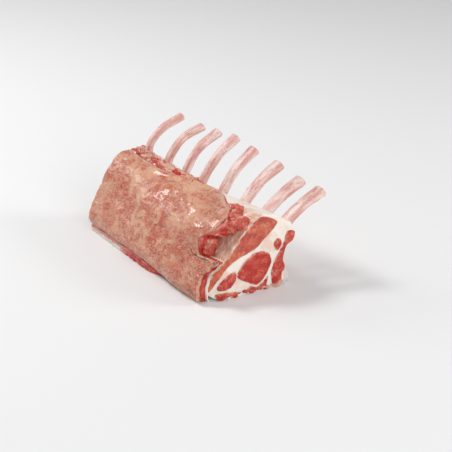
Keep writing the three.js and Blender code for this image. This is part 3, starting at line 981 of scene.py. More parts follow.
class CapShape:
    """The cap's edges and depths at x and side, where side is 0 by the board and 1 along its top."""

    PLACES = 400
    FAT_THICKNESS = 7.0
    EDGE_THICKNESS = 3.6
    THINS_OVER = 30.0
    TOP_SHARE = 0.55
    MOST_FAT = 0.55
    LEAN_SHARE = 0.68
    FLAP_DEPTH = 7.4
    ROUND_LENGTH = 130.0
    FRONT_SHARE = 0.6

    def __init__(self, sections: Sections) -> None:
        """Finds, by halving, where the cap stops along the outer outline at each x.

        Args:
            sections: the rack's sections.
        """
        self.sections = sections
        self.places = np.linspace(-RACK_LENGTH, 0.0, self.PLACES)
        low, high = np.full(self.PLACES, CAP_TOP_FROM), np.full(self.PLACES, CAP_TOP_TO)
        for _ in range(HALVINGS):
            t = (low + high) / 2
            short = sections.point(Outline.OUTER, self.places, t)[..., 0] < self.top_edge(self.places)
            low, high = np.where(short, t, low), np.where(short, high, t)
        self.tops = low

    @staticmethod
    def top_edge(x: np.ndarray) -> np.ndarray:
        """Returns y of the cap's top edge: a level with two bells on it."""
        return CAP_TOP + sum(rise * hump(x - at, reach) for at, rise, reach in CAP_TOP_RISES)

    @staticmethod
    def front(side: np.ndarray) -> np.ndarray:
        """Gives x of the cap's front edge: a flap by the board, a deep bite and a rounded corner.

        Args:
            side: places up the cap, 0 to 1.

        Returns:
            x at each, eased from one control point to the next.
        """
        sides, places = np.array(CAP_FRONT, float).T
        i = np.clip(np.searchsorted(sides, side, side="right") - 1, 0, len(sides) - 2)
        return mix(places[i], places[i + 1], smooth((side - sides[i]) / (sides[i + 1] - sides[i])))

    def rows(self, count: int, low: float = 0.0, high: float = 1.0) -> np.ndarray:
        """Gives values of side that are spaced evenly along the front edge.

        Args:
            count: how many.
            low: the first.
            high: the last.

        Returns:
            The values.
        """
        side = np.linspace(low, high, 10 * self.PLACES)
        front = np.diff(self.front(np.clip(side, 0, 1))) * self.FRONT_SHARE
        step = np.hypot(np.diff(side) * self.ROUND_LENGTH, front)
        length = np.concatenate([[0], np.cumsum(step)])
        return np.interp(np.linspace(0, length[-1], count), length, side)

    @staticmethod
    def bent(x: np.ndarray, side: np.ndarray) -> np.ndarray:
        """Returns side with the rows bent up at the flap's corner and down at the foot of the bite."""
        shift = 0.03 * hump(x - 3, 10) - 0.045 * hump(x + 24, 12)
        return side + shift * hump(side - 0.45, 0.06)

    def faces(self, x: np.ndarray, side: np.ndarray) -> tuple:
        """Gives the cap's outer and inner faces.

        Args:
            x: places along the rack, millimetres.
            side: places up the cap; below 0 tucks under it and above 1 runs on past its top.

        Returns:
            The outer points, the inner points and how far apart they are.
        """
        section = np.clip(x, -RACK_LENGTH, 0.0)
        bottom = 0.06 + 0.6 * ramp(x, *TUCK_PLACES)
        top = np.interp(x, self.places, self.tops)
        t = mix(bottom, top, self.bent(x, side))
        t = np.where(side < 0, bottom * (1 + side), t)
        past = (side - 1) / TRIM_SHARE * (0.05 + TRIM_REACH * ramp(x, TRIM_FROM, TRIM_FROM - 25))
        t = np.where(side > 1, top + past, t)
        pair = [self.sections.point(kind, section, t) for kind in (Outline.OUTER, Outline.INNER)]
        outer, inner = (np.concatenate([x[..., None], p], axis=-1) for p in pair)
        return outer, inner, np.linalg.norm(inner - outer, axis=-1)

    def fat_depth(self, x: np.ndarray, side: np.ndarray, thickness: np.ndarray) -> np.ndarray:
        """Gives how deep the outer fat goes: thin at the front edge and along the top.

        Args:
            x: places along the rack, millimetres.
            side: places up the cap, 0 to 1.
            thickness: how thick the whole cap is there.

        Returns:
            The depths.
        """
        behind = smooth((self.front(side) - x) / self.THINS_OVER)
        top = mix(1, self.TOP_SHARE, ramp(side, 0.7, 1.0))
        full = mix(self.EDGE_THICKNESS, self.FAT_THICKNESS, behind)
        return np.minimum(full * top, self.MOST_FAT * thickness)

    def lean_depth(self, x: np.ndarray, side: np.ndarray, thickness: np.ndarray) -> np.ndarray:
        """Returns how deep the lean under the fat goes."""
        return mix(self.fat_depth(x, side, thickness), self.whole(x, side, thickness), self.LEAN_SHARE)

    def whole(self, x: np.ndarray, side: np.ndarray, thickness: np.ndarray) -> np.ndarray:
        """Returns how deep all the layers go: to the loin, but less in the flap, which stands off it."""
        flap = ramp(x, -32, -10) * ramp(side, 0.5, 0.44)
        return mix(thickness, np.minimum(thickness, self.FLAP_DEPTH), flap)

    @staticmethod
    def sunk(
        outer: np.ndarray, inner: np.ndarray, thickness: np.ndarray, depth: np.ndarray
    ) -> np.ndarray:
        """Gives points between the faces.

        Args:
            outer: points of the outer face.
            inner: points of the inner face.
            thickness: how far apart they are.
            depth: how far below the outer face to go.

        Returns:
            The points, held above the board.
        """
        points = mix(outer, inner, (depth / thickness)[..., None])
        points[..., 2] = np.maximum(points[..., 2], ABOVE_BOARD)
        return points


@dataclass
class Cap(Part):
    """The fat cap that is folded over the loin, the lean under it and the pale lining inside."""

    rows: int = 176
    columns: int = 270
    lean_rows: int = 150
    lean_columns: int = 140
    lining_rows: int = 120
    lining_columns: int = 150
    spacing: float = 1.25
    ragged: float = 0.9
    ragged_size: float = 9.0
    far_ragged: float = 0.7
    far_ragged_size: float = 8.0
    undulation: float = 1.9
    undulation_size: float = 36.0
    lumps: float = 0.95
    lump_size: float = 19.0
    wrinkles: float = 2.2
    wrinkle_size: tuple = (16.0, 5.0, 5.0)
    creases: float = 1.5
    crease_size: tuple = (44.0, 17.0, 14.0)
    droop: float = 1.4
    droop_size: float = 14.0
    top_roll: float = 1.7
    top_groove: float = 1.0
    edge_groove: float = 0.35
    corner_lift: float = 2.2
    edge_colour: float = 0.75
    bevel: float = 4.5
    layer_gap: float = 0.3
    lean_lumps: float = 1.1
    strip_lean: float = 0.62
    ball_rough: float = 0.21
    scraps: int = 96
    scrap_rough: float = 0.6
    scraps_from: float = -193.0
    scraps_over: float = 92.0

    def build(self) -> None:
        """Builds the three layers."""
        self.shape = CapShape(self.sections)
        self.fat()
        self.lean()
        self.lining()

    def grid(self, rows: np.ndarray, columns: int, front: Callable) -> tuple:
        """Lays out a layer, with columns that run back from the front edge.

        Args:
            rows: the values of side.
            columns: how many places along the rack.
            front: gives x of the front edge at each side.

        Returns:
            x and side over the grid.
        """
        side = rows[:, None]
        share = np.linspace(0, 1, columns)[None, :] ** self.spacing
        along = np.stack([side * 150, side * 0, side * 0 + 4.0], -1)
        rough = self.noise.layered(along, self.ragged_size, 4, 0.55)
        far = self.far_ragged * self.noise.layered(along + (0.0, 30.0, 0.0), self.far_ragged_size, 3)
        start = front(np.clip(side, 0, 1)) + self.ragged * rough * smooth(1 - share * 6)
        x = mix(start, -RACK_LENGTH + far, share)
        return x, np.broadcast_to(side, x.shape)

    @staticmethod
    def outward(outer: np.ndarray, inner: np.ndarray) -> np.ndarray:
        """Returns unit normals of the outer points that face away from the inner ones."""
        normal = normals_of(outer)
        return normal * np.sign(np.sum(normal * (outer - inner), axis=-1, keepdims=True))

    def fat(self) -> None:
        """Builds the outer fat: its face is lumpy, folded by the flap and pulled down by the board, and
        marked for painted shade near it.
        """
        x, side = self.grid(self.shape.rows(self.rows), self.columns, self.shape.front)
        outer, inner, thickness = self.shape.faces(x, side)
        normal = self.outward(outer, inner)
        depth = self.shape.fat_depth(x, side, thickness)
        corner = self.corner_lift * hump(x - 2, 9) * hump(side - 0.45, 0.07)
        edges = np.minimum.reduce([side * 9, (1 - side) * 9, (self.shape.front(side) - x + 1) / 3])
        push = self.relief(x, side, outer) * mix(0.3, 1.0, smooth(edges))
        push = push - self.edge_groove * hump(edges, 0.3) * (depth > 1.5) + corner
        bottom = self.shape.sunk(outer, inner, thickness, depth) + normal * corner[..., None]
        outside = outer + normal * push[..., None]
        outside[..., 2] = np.maximum(outside[..., 2], 2 * ABOVE_BOARD)
        rim_edge = self.edge_colour * ramp(edges, 0.3, 0)
        # The low mark is painted shade: 1 near the board, fading by 34 mm up, and also rising towards both
        # ends of the cap.
        ends = np.maximum(0.8 * ramp(x, -75, -30), 0.7 * ramp(x, -150, -180))
        low = np.maximum(ramp(outside[..., 2], 34, 4), ends)
        patch = Patchwork("outer_fat", self.sections)
        close_shell(patch, outside, bottom, 0.3, edge=(rim_edge, 1.0, 0.5), low=(low, 0.0, 0.3))
        self.keep(patch, "fat_cap", Slot.CAP_FAT)

    def relief(self, x: np.ndarray, side: np.ndarray, outer: np.ndarray) -> np.ndarray:
        """Gives the fat's own relief: undulation, lumps, folds, creases, droop and a rolled top edge.

        Args:
            x: places along the rack, millimetres.
            side: places up the cap.
            outer: the smooth outer points.

        Returns:
            How far each point is pushed out.
        """
        folds = self.noise.layered(outer, self.wrinkle_size, 3) * hump(x + 12, 24) * ramp(side, 0.5, 0)
        creases = 0.25 - np.abs(self.noise.layered(outer + 9.0, self.crease_size, 2, 0.45))
        foot = np.stack([x, x * 0, x * 0], -1)
        droop = self.noise.layered(foot, self.droop_size, 3) * hump(side, 0.08)
        push = self.undulation * self.noise.at(outer / self.undulation_size + 3.1)
        push = push + self.lumps * self.noise.layered(outer, self.lump_size, 4, 0.38)
        push = push + self.wrinkles * folds + self.creases * creases + self.droop * droop
        roll = self.top_roll * hump(side - 0.955, 0.035) - self.top_groove * hump(side - 0.87, 0.04)
        return push + roll * ramp(x, -170, -130)

    def lean_front(self, side: np.ndarray) -> np.ndarray:
        """Returns x of the lean's front edge, with its lumps."""
        lumps = sum(h * hump(side - at, r) for at, h, r in LEAN_LUMPS)
        return self.shape.front(side) - 0.5 + lumps + self.bevel * self.in_flap(side)

    def lining_front(self, side: np.ndarray) -> np.ndarray:
        """Returns x of the lining's front edge."""
        return self.shape.front(side) + 1.5 * self.bevel * self.in_flap(side)

    def lean(self) -> None:
        """Builds the lean under the fat, which shows in the flap's edge, the bite and by the board."""
        rows = self.shape.rows(self.lean_rows, -TUCK_SHARE, 1 + TRIM_SHARE)
        x, side = self.grid(rows, self.lean_columns, self.lean_front)
        outer, inner, thickness = self.shape.faces(x, np.where(side < 0, side / TUCK_SHARE, side))
        held = np.clip(side, 0, 1)
        fat = self.shape.fat_depth(x, held, thickness)
        clear = smooth((x - self.shape.front(held) + 1.6) / 3.0)
        trim = ramp(side, 1.0, 1.03) * ramp(x, TRIM_FROM, TRIM_FROM - 20)
        deep = self.shape.lean_depth(x, held, thickness)
        ahead = np.clip((x - self.shape.front(held) + 0.5) / self.bevel, 0, 1)
        tucked = ramp(side, 0, -0.2 * TUCK_SHARE) * ramp(x, *TUCK_PLACES)
        depth = mix(fat + self.layer_gap, 0.35 * fat, np.maximum(clear, trim))
        flap_depth = mix(fat * 0.7, deep - self.layer_gap, ahead)
        depth = mix(depth, flap_depth, self.in_flap(held) * smooth(ahead * 6)) * (1 - 0.85 * tucked)
        top = self.shape.sunk(outer, inner, thickness, depth)
        bottom = self.shape.sunk(outer, inner, thickness, deep)
        strip = ramp(side, 0, -0.5 * TUCK_SHARE)
        top[..., 1] -= np.maximum(0, 10 - top[..., 2]) * self.strip_lean * tucked
        height = mix(0.1, self.lean_lumps, np.maximum.reduce([clear, strip, 1.4 * trim]))
        lumpy = self.noise.layered(outer, 5.0, 3, 0.55) * height
        top = top + self.outward(outer, inner) * lumpy[..., None]
        top[..., 2] = np.maximum(top[..., 2], ABOVE_BOARD)
        white = self.noise.layered(outer, (14.0, 5.0, 5.0), 3) > -0.1
        # Painted light: the bare lean just behind the fat's front edge is made paler and warmer to lift its
        # shade.
        bare_painted_light = clear * (1 - self.in_flap(held)) * ramp(side, 0, 0.02)
        pale = np.maximum.reduce([ramp(x, -124, -140) * strip, 0.85 * trim * white, 0.2 * bare_painted_light])
        patch = Patchwork("under_cap_lean", self.sections)
        close_shell(patch, top, bottom, 0.25, pale=(pale, 0.0, 0.0), warm=(0.5 * bare_painted_light, 0.0, 0.0))
        self.bite_lumps(patch)
        self.trimmings(patch)
        self.keep(patch, "under_cap_muscle", Slot.LEAN)

    def bite_lumps(self, patch: Patchwork) -> None:
        """Adds the lumps of lean that stand in the bite, marbled with fat.

        Args:
            patch: what they are added to.
        """
        for centre, size in BITE_LUMPS:
            ball = rough_ball(
                self.noise, np.array(centre, float), np.array(size, float), self.ball_rough, 44, 65
            )
            white = smooth(self.noise.layered(ball + 5.0, (3.0, 7.0, 7.0), 3) * 2.5 - 0.5)
            patch.grid(ball, pale=0.08 + 0.4 * white, warm=np.full(ball.shape[:2], 0.7))

    @staticmethod
    def in_flap(side: np.ndarray) -> np.ndarray:
        """Returns 1 in the flap by the board and 0 above it."""
        return ramp(side, 0.44, 0.39)

    def trimmings(self, patch: Patchwork) -> None:
        """Adds ragged bits, red and white, between the cap's top edge and the far ribs.

        Args:
            patch: what they are added to.
        """
        rng = np.random.default_rng(11)
        over = self.scraps_over
        for i in range(self.scraps):
            x = self.scraps_from + over * (i + rng.uniform(0, 0.8)) / self.scraps
            near = (x - self.scraps_from) / over
            y = self.shape.top_edge(x) + mix(5, 6, near) + rng.uniform(-4, 6) * mix(1.3, 0.6, near)
            inner = self.sections.point(Outline.INNER, np.full(41, x), np.linspace(4, 8, 41))
            z = np.interp(y, inner[:, 0], inner[:, 1]) + mix(3.6, -0.2, near) + rng.uniform(-1.0, 1.2)
            size = rng.uniform(1.4, 3.4) * mix(1.15, 0.65, near) * np.array([1.9, 0.8, 0.55])
            pale = rng.uniform(0.0, 0.9)
            ball = rough_ball(self.noise, np.array([x, y, z]), size, self.scrap_rough, 16, 23)
            patch.grid(ball, pale=np.full(ball.shape[:2], 0.9 * pale))

    def lining(self) -> None:
        """Builds the pale lining that faces the loin."""
        x, side = self.grid(self.shape.rows(self.lining_rows), self.lining_columns, self.lining_front)
        outer, inner, thickness = self.shape.faces(x, side)
        above = self.shape.lean_depth(x, side, thickness) + self.layer_gap
        below = self.shape.whole(x, side, thickness) - 0.2
        top = self.shape.sunk(outer, inner, thickness, above)
        bottom = self.shape.sunk(outer, inner, thickness, below)
        patch = Patchwork("cap_inner_lining", self.sections)
        close_shell(patch, top, bottom, 0.25)
        self.keep(patch, "cap_lining", Slot.SEAM_FAT)


@dataclass
class Loin(Part):
    """The seam fat round the muscles: a tube on the loin's outline, closed by its two cuts."""

    around: int = 376
    along: int = 130
    rings: int = 50
    rounding: float = 0.9
    waves: float = 0.35
    cap_side_waves: float = 0.5
    membrane_waves: float = 0.45
    near_middle: tuple = (35.0, 25.0)
    far_middle: tuple = (14.0, 30.0)
    knob_from: float = 64.5
    knob_top: float = 19.0

    def build(self) -> None:
        """Builds the tube and both cut faces."""
        share = np.linspace(0, 1, self.along)
        x = -RACK_LENGTH * mix(share, share**2, 0.75)[:, None]
        t = np.linspace(0, self.sections.loin_count, self.around + 1)[None, :]
        x, t = np.broadcast_arrays(x, t)
        wall, membrane = self.wall(x, t)
        beside = ramp(wall[..., 1], self.knob_from - 1, self.knob_from + 1.5)
        knob = beside * ramp(wall[..., 2], self.knob_top + 1, self.knob_top - 4) * ramp(x, -18, -14)
        patch = Patchwork("loin_fat", self.sections)
        patch.grid(wall, membrane=membrane, knob=knob)
        self.cut(patch, wall[0], self.near_middle, near=True)
        self.cut(patch, wall[-1], self.far_middle, near=False)
        self.keep(patch, "seam_fat", Slot.SEAM_FAT)

    def wall(self, x: np.ndarray, t: np.ndarray) -> tuple:
        """Gives the tube: the loin's outline pushed out by noise, rounded over at the near cut.

        Args:
            x: places along the rack, millimetres.
            t: places round the outline, counted in control points.

        Returns:
            The points, and how far each lies in the torn membrane.
        """
        flat = self.sections.point(Outline.LOIN, x, t)
        wall = np.concatenate([x[..., None], flat], axis=-1)
        normal = normals_of(wall)
        normal[:, -1] = normal[:, 0]
        normal[..., 0] = 0
        out = np.sum(normal[..., 1:] * (flat - np.mean(flat, axis=1, keepdims=True)), axis=-1)
        normal *= np.sign(out)[:, :1, None]
        cap_side = ramp(t, 1.2, 2.0) * ramp(t, 9.2, 8.4)
        membrane = cap_side * ramp(x, -40, -26) * ramp(t, 7.6, 6.6)
        push = self.waves * self.noise.layered(wall, 12.0, 3)
        push = push + self.cap_side_waves * cap_side * self.noise.layered(wall, 9.0, 4)
        push = push + self.membrane_waves * membrane * self.noise.layered(wall, (1.3, 9.0, 9.0), 3, 0.6)
        past = np.clip(1 + x / self.rounding, 0, 1)
        push = push - self.rounding * (1 - np.sqrt(1 - past**2))
        push = push * (1 - ramp(flat[..., 1], 1.2, 0.2))
        wall = wall + normal * push[..., None]
        wall[..., 2] = np.maximum(wall[..., 2], Patchwork.FLOOR)
        wall[..., 0] = x + ramp(x, -12, 0) * self.face_x(wall[..., 1], wall[..., 2])
        wall[:, -1] = wall[:, 0]
        return wall, membrane

    def cut(self, patch: Patchwork, edge: np.ndarray, centre: tuple, near: bool) -> None:
        """Adds a cut face as rings of points from its edge to a centre.

        Args:
            patch: what it is added to.
            edge: the tube's last ring.
            centre: the middle as (y, z).
            near: whether it is the near cut.
        """
        r = np.linspace(1, 0, self.rings)[:, None]
        y = mix(centre[0], edge[None, :, 1], r)
        z = mix(centre[1], edge[None, :, 2], r)
        if near:
            relief = 0.12 * self.noise.layered(np.stack([y * 0, y, z], -1), 2.6, 2)
            x = self.face_x(y, z)
        else:
            relief = 0.3 * self.noise.layered(np.stack([y * 0 + 50, y, z], -1), 7.0, 3)
            x = mix(-RACK_LENGTH, edge[None, :, 0], r)
        points = np.stack([x + relief * (1 - r**8), y, z], -1)
        points[0] = edge
        points[-1] = points[-1].mean(axis=0)
        beside = ramp(points[..., 1], self.knob_from, self.knob_from + 2)
        knob = beside * ramp(points[..., 2], self.knob_top, self.knob_top - 4) * near
        patch.grid(points, knob=knob)


@dataclass(frozen=True)
class MuscleOutline:
    """A muscle's outlines at the near and far cuts, and where its two long sides part."""

    node: str
    near: tuple
    far: tuple
    split: tuple
    pale: bool = False
    size: tuple = (120, 50)


MUSCLES = (
    MuscleOutline(
        "eye_muscle",
        (
            (17.6, 18.7), (21, 28), (30, 35.6), (41.5, 38), (50, 33.5),
            (52, 25.5), (47.5, 15), (41, 7.8), (36, 6.6), (27, 11.5),
        ),
        (
            (-8, 22), (-4, 32), (4, 40), (14, 43), (23, 40),
            (26, 31), (23, 19), (16, 11.5), (10, 10), (0, 14),
        ),
        (0, 5), size=(140, 120),
    ),
    MuscleOutline(
        "cap_muscle",
        (
            (-11.3, 12.4), (-3, 28), (4.6, 36.4), (12.6, 45), (20.6, 54.2), (29, 63.2),
            (34.5, 68), (42, 70.8), (52, 67), (58, 61.5), (50.5, 53.6), (43, 47.6),
            (35, 41), (22, 37.4), (11, 32.6), (4, 27), (-3, 16.8), (-8, 9),
        ),
        (
            (-17.6, 13), (-16.6, 25.4), (-9, 38.6), (-3.6, 48), (2, 56), (8, 62.6),
            (14, 66.4), (21, 68.4), (28, 68.6), (30, 64.6), (24, 62.4), (18, 59),
            (11, 52), (3.4, 43.4), (-4, 33.8), (-10, 24.4), (-12.6, 16), (-13.6, 9),
        ),
        (17.5, 8.5), True, (300, 70),
    ),
    MuscleOutline(
        "side_muscle",
        ((14.6, 24.6), (15.8, 17), (10.5, 10.8), (1, 9.2), (-2.4, 12.4), (3.6, 20.6)),
        ((-4.4, 12), (-3.4, 9), (-5, 6), (-9, 5), (-11, 7.4), (-9, 11.6)),
        (0.5, 3.5), size=(90, 50),
    ),
    MuscleOutline(
        "base_muscle",
        ((-3.6, 4.4), (-2, 7), (6, 6.8), (18, 4.6), (20.4, 2.6), (15, 1.4), (0, 1.4)),
        ((-4, 2.6), (-3, 4), (2, 4), (9, 3.4), (10, 2.4), (6, 1.2), (-1, 1.2)),
        (0, 4), True, (90, 26),
    ),
    MuscleOutline(
        "lower_muscle",
        ((26.6, 3), (31, 6.6), (37, 4.6), (43.6, 7.4), (49, 12), (47.4, 4.4), (44, 1.6), (34, 1.4)),
        ((12.6, 3), (15, 5.6), (19, 5.4), (23, 7.4), (27, 11), (26.6, 5), (24.6, 2), (18, 1.4)),
        (0, 4), size=(90, 26),
    ),
    MuscleOutline(
        "inner_muscle",
        (
            (68.4, 50.4), (76.5, 49.4), (75.2, 42), (68, 36.9), (64.8, 26), (67, 17), (64, 11), (63, 4.6),
            (58.4, 2), (53.6, 4.4), (52.4, 14), (54.6, 22), (57, 28), (61, 33.6), (65.6, 42),
        ),
        (
            (34.6, 61), (40.6, 60), (38, 54), (35.4, 46), (33.4, 30), (35.6, 20), (36.6, 12), (36, 5),
            (33, 2.2), (30, 4.6), (28.6, 13), (28.2, 22), (28.2, 32), (29.4, 44), (32, 54),
        ),
        (0.5, 8), size=(170, 40),
    ),
    MuscleOutline(
        "rim_muscle",
        ((54.8, 41.5), (57.5, 46), (62, 45), (62.8, 40.5), (60.6, 36), (57, 35.5)),
        ((22.6, 54.2), (24, 57), (27, 56.6), (28, 54), (26.6, 51), (24, 51)),
        (0, 3), size=(50, 30),
    ),
)


@dataclass
class Muscles(Part):
    """The muscles that run through the loin and swell a little out of both cuts."""

    poke: float = 0.22
    swell: float = 0.75
    swell_over: float = 1.3
    edge_waves: float = 0.35
    grain: float = 0.28
    spacing: float = 0.8
    pinch: float = 0.07
    plain_columns: int = 24
    inner_columns: int = 200
    inner_sink: float = 3.0
    rib_ridge: float = 1.3
    rib_reach: float = 5.5
    crumb_count: int = 46
    crumb_rough: float = 0.4

    def build(self) -> None:
        """Builds every muscle."""
        for outline in MUSCLES:
            patch = Patchwork(outline.node.replace("muscle", "meat"), self.sections)
            self.muscle(patch, outline)
            if outline.node == "lower_muscle":
                self.crumbs(patch)
            self.keep(patch, outline.node, Slot.PALE_LEAN if outline.pale else Slot.LEAN)

    def crumbs(self, patch: Patchwork) -> None:
        """Adds small torn bits of meat and fat along the near cut's foot.

        Args:
            patch: what they are added to.
        """
        rng = np.random.default_rng(5)
        for _ in range(self.crumb_count):
            y, z = rng.uniform(-2, 66), rng.uniform(0.6, 3.4) ** 1.1
            x = float(self.face_x(np.array(y), np.array(z))) + rng.uniform(-0.4, 0.9)
            size = rng.uniform(0.7, 1.9) * np.array([0.8, 1.4, 0.8])
            pale = 0.7 * float(rng.uniform() < 0.2)
            ball = rough_ball(self.noise, np.array([x, y, z]), size, self.crumb_rough, 20, 29)
            patch.grid(ball, pale=np.full(ball.shape[:2], pale))

    def sides(self, outline: MuscleOutline, share: float, u: np.ndarray) -> list:
        """Gives a muscle's two long sides.

        Args:
            outline: the muscle.
            share: how far the section lies from the near cut to the far one.
            u: places along the sides, 0 to 1.

        Returns:
            The points of each side as (y, z).
        """
        near, far = np.array(outline.near, float), np.array(outline.far, float)
        count, (start, end) = len(near), outline.split
        end = end + count if end < start else end
        places = (mix(start, end, u), mix(start + count, end, u))
        return [mix(through(near, t, True), through(far, t, True), share) for t in places]

    def bone_side(self, wall: np.ndarray, steps: np.ndarray, count: int) -> np.ndarray:
        """Lays the first long side of a wall just outside the loin's bone side, ridged along each rib.

        Args:
            wall: the wall's points.
            steps: each row's share of the way along the rack.
            count: how many columns the long side has.

        Returns:
            The long side's new points as (y, z).
        """
        share = np.linspace(0, 1, count)[None, :]
        t = mix(11.1, 14.5, np.clip(share / 0.62, 0, 1))
        x = np.broadcast_to(-RACK_LENGTH * steps[..., 0], (len(steps), count))
        loin = self.sections.point(Outline.LOIN, x, np.broadcast_to(t, x.shape))
        at = np.concatenate([x[..., None], loin], -1)
        ridge = self.rib_ridge * hump(from_nearest_rib(x), self.rib_reach)
        loin[..., 0] += 0.5 + ridge + 0.35 * self.noise.layered(at, (6.0, 9.0, 9.0), 4, 0.55)
        own = wall[:, :count, 1:]
        blend = ramp(share, 0.54, 0.66)[..., None]
        ends = ramp(np.minimum(steps[..., 0], 1 - steps[..., 0]), 0, 0.02)[..., None]
        return mix(own, mix(loin, own, blend), ends * ramp(share, 0, 0.04)[..., None])

    def muscle(self, patch: Patchwork, outline: MuscleOutline) -> None:
        """Adds one muscle: its two cut faces, and the wall from the edge of one to the other's.

        Args:
            patch: what it is added to.
            outline: the muscle.
        """
        edges = [self.face(patch, outline, near) for near in (True, False)]
        inner = outline.node == "inner_muscle"
        steps = np.linspace(0, 1, self.inner_columns if inner else self.plain_columns)[:, None, None]
        wall = edges[0] + (edges[1] - edges[0]) * steps
        pale = np.zeros(wall.shape[:2])
        if inner:
            count = outline.size[0]
            wall[..., 1] -= self.inner_sink * np.sin(np.pi * steps[..., 0])
            wall[:, :count, 1:] = self.bone_side(wall, steps, count)
            ragged = self.noise.layered(wall[:, :count], (5.0, 9.0, 9.0), 3, 0.6)
            foot = smooth((np.linspace(0, 1, count)[None, :] - 0.42) / 0.14 + 0.5 * ragged)
            over_rib = smooth(1.5 - np.abs(from_nearest_rib(wall[:, :count, 0])) / 4.6 + 0.7 * ragged)
            pale[:, :count] = np.maximum(0.85 * over_rib, 0.9 * foot)
        else:
            centre = wall.mean(axis=1, keepdims=True)
            narrow = 1 - self.pinch * np.sin(np.pi * steps)
            wall[..., 1:] = mix(centre, wall, narrow)[..., 1:]
        patch.grid(wall, pale=pale)

    def face(self, patch: Patchwork, outline: MuscleOutline, near: bool) -> np.ndarray:
        """Adds a muscle's cut face, laid out as a ladder between its long sides.

        The face stands out by poke, plus swell times 1 - exp(-(distance from the edge) / swell_over).

        Args:
            patch: what it is added to.
            outline: the muscle.
            near: whether it is the near cut.

        Returns:
            The points round the face's edge.
        """
        runs = (np.linspace(0, 1, n) for n in outline.size)
        u, v = (mix(run, (1 - np.cos(np.pi * run)) / 2, self.spacing) for run in runs)
        u, v = u[:, None], v[None, :, None]
        first, second = self.sides(outline, 0.0 if near else 1.0, u)
        flat = first + (second - first) * v
        at = np.concatenate([np.full((*flat.shape[:2], 1), 0.0 if near else 40.0), flat], -1)
        wobble = np.stack([self.noise.layered(at + shift, 7.0, 2) for shift in (0, 31.7)], -1)
        flat = flat + self.edge_waves * wobble
        gap = np.linalg.norm(second - first, axis=-1, keepdims=True)[..., 0]
        inward = np.minimum(v, 1 - v)[..., 0] * gap
        swell = self.poke + self.swell * (1 - np.exp(-inward / self.swell_over))
        grain = self.grain * self.noise.layered(at, (1, 4.0, 4.0), 3, 0.6) * ramp(inward, 0, 1.5)
        y, z = flat[..., 0], np.maximum(flat[..., 1], 0.3)
        x = self.face_x(y, z) + swell + grain if near else -RACK_LENGTH - swell - grain
        points = np.stack([x, y, z], -1)
        points[0], points[-1] = points[0].mean(axis=0), points[-1].mean(axis=0)
        along = running_length(flat[:, outline.size[1] // 2])
        soft = 0.85 * hump(inward, 1.1) * smooth(1.4 * self.noise.layered(at, 4.0, 3) + 0.5)
        warm = ramp(z, 46, 22) if outline.pale else 0.0 * z
        patch.grid(points, along=along[:, None], across=v[..., 0] * gap, pale=soft, warm=warm)
        return np.concatenate([points[:, 0], points[-2::-1, -1]])


@dataclass(frozen=True)
class RibShape:
    """Where a rib leaves the meat, its middle and cut end as (y, z), two half widths, half thickness."""

    leaves: tuple
    middle: tuple
    end: tuple
    half: tuple
    thick: float


RIBS = (
    RibShape((75, 58), (91.6, 69.5), (110, 77.5), (6.7, 7.1), 4.1),
    RibShape((69.5, 57), (87, 70.6), (105.5, 80), (6.5, 7), 4.1),
    RibShape((61, 58), (79, 76), (99.2, 88.2), (6.1, 6.7), 4),
    RibShape((53, 59.5), (68.5, 82), (88.6, 96.3), (5.6, 6.4), 3.8),
    RibShape((47, 64), (64.5, 87), (84.4, 101.6), (5, 5.8), 3.7),
    RibShape((43, 64.5), (58.8, 87.6), (80.6, 99.8), (4.7, 5.4), 3.6),
    RibShape((39.6, 70), (55.6, 90), (77.6, 98), (4.3, 5.2), 3.5),
    RibShape((34, 79), (47.8, 93.8), (69.2, 102.8), (3.9, 5.2), 3.4),
)


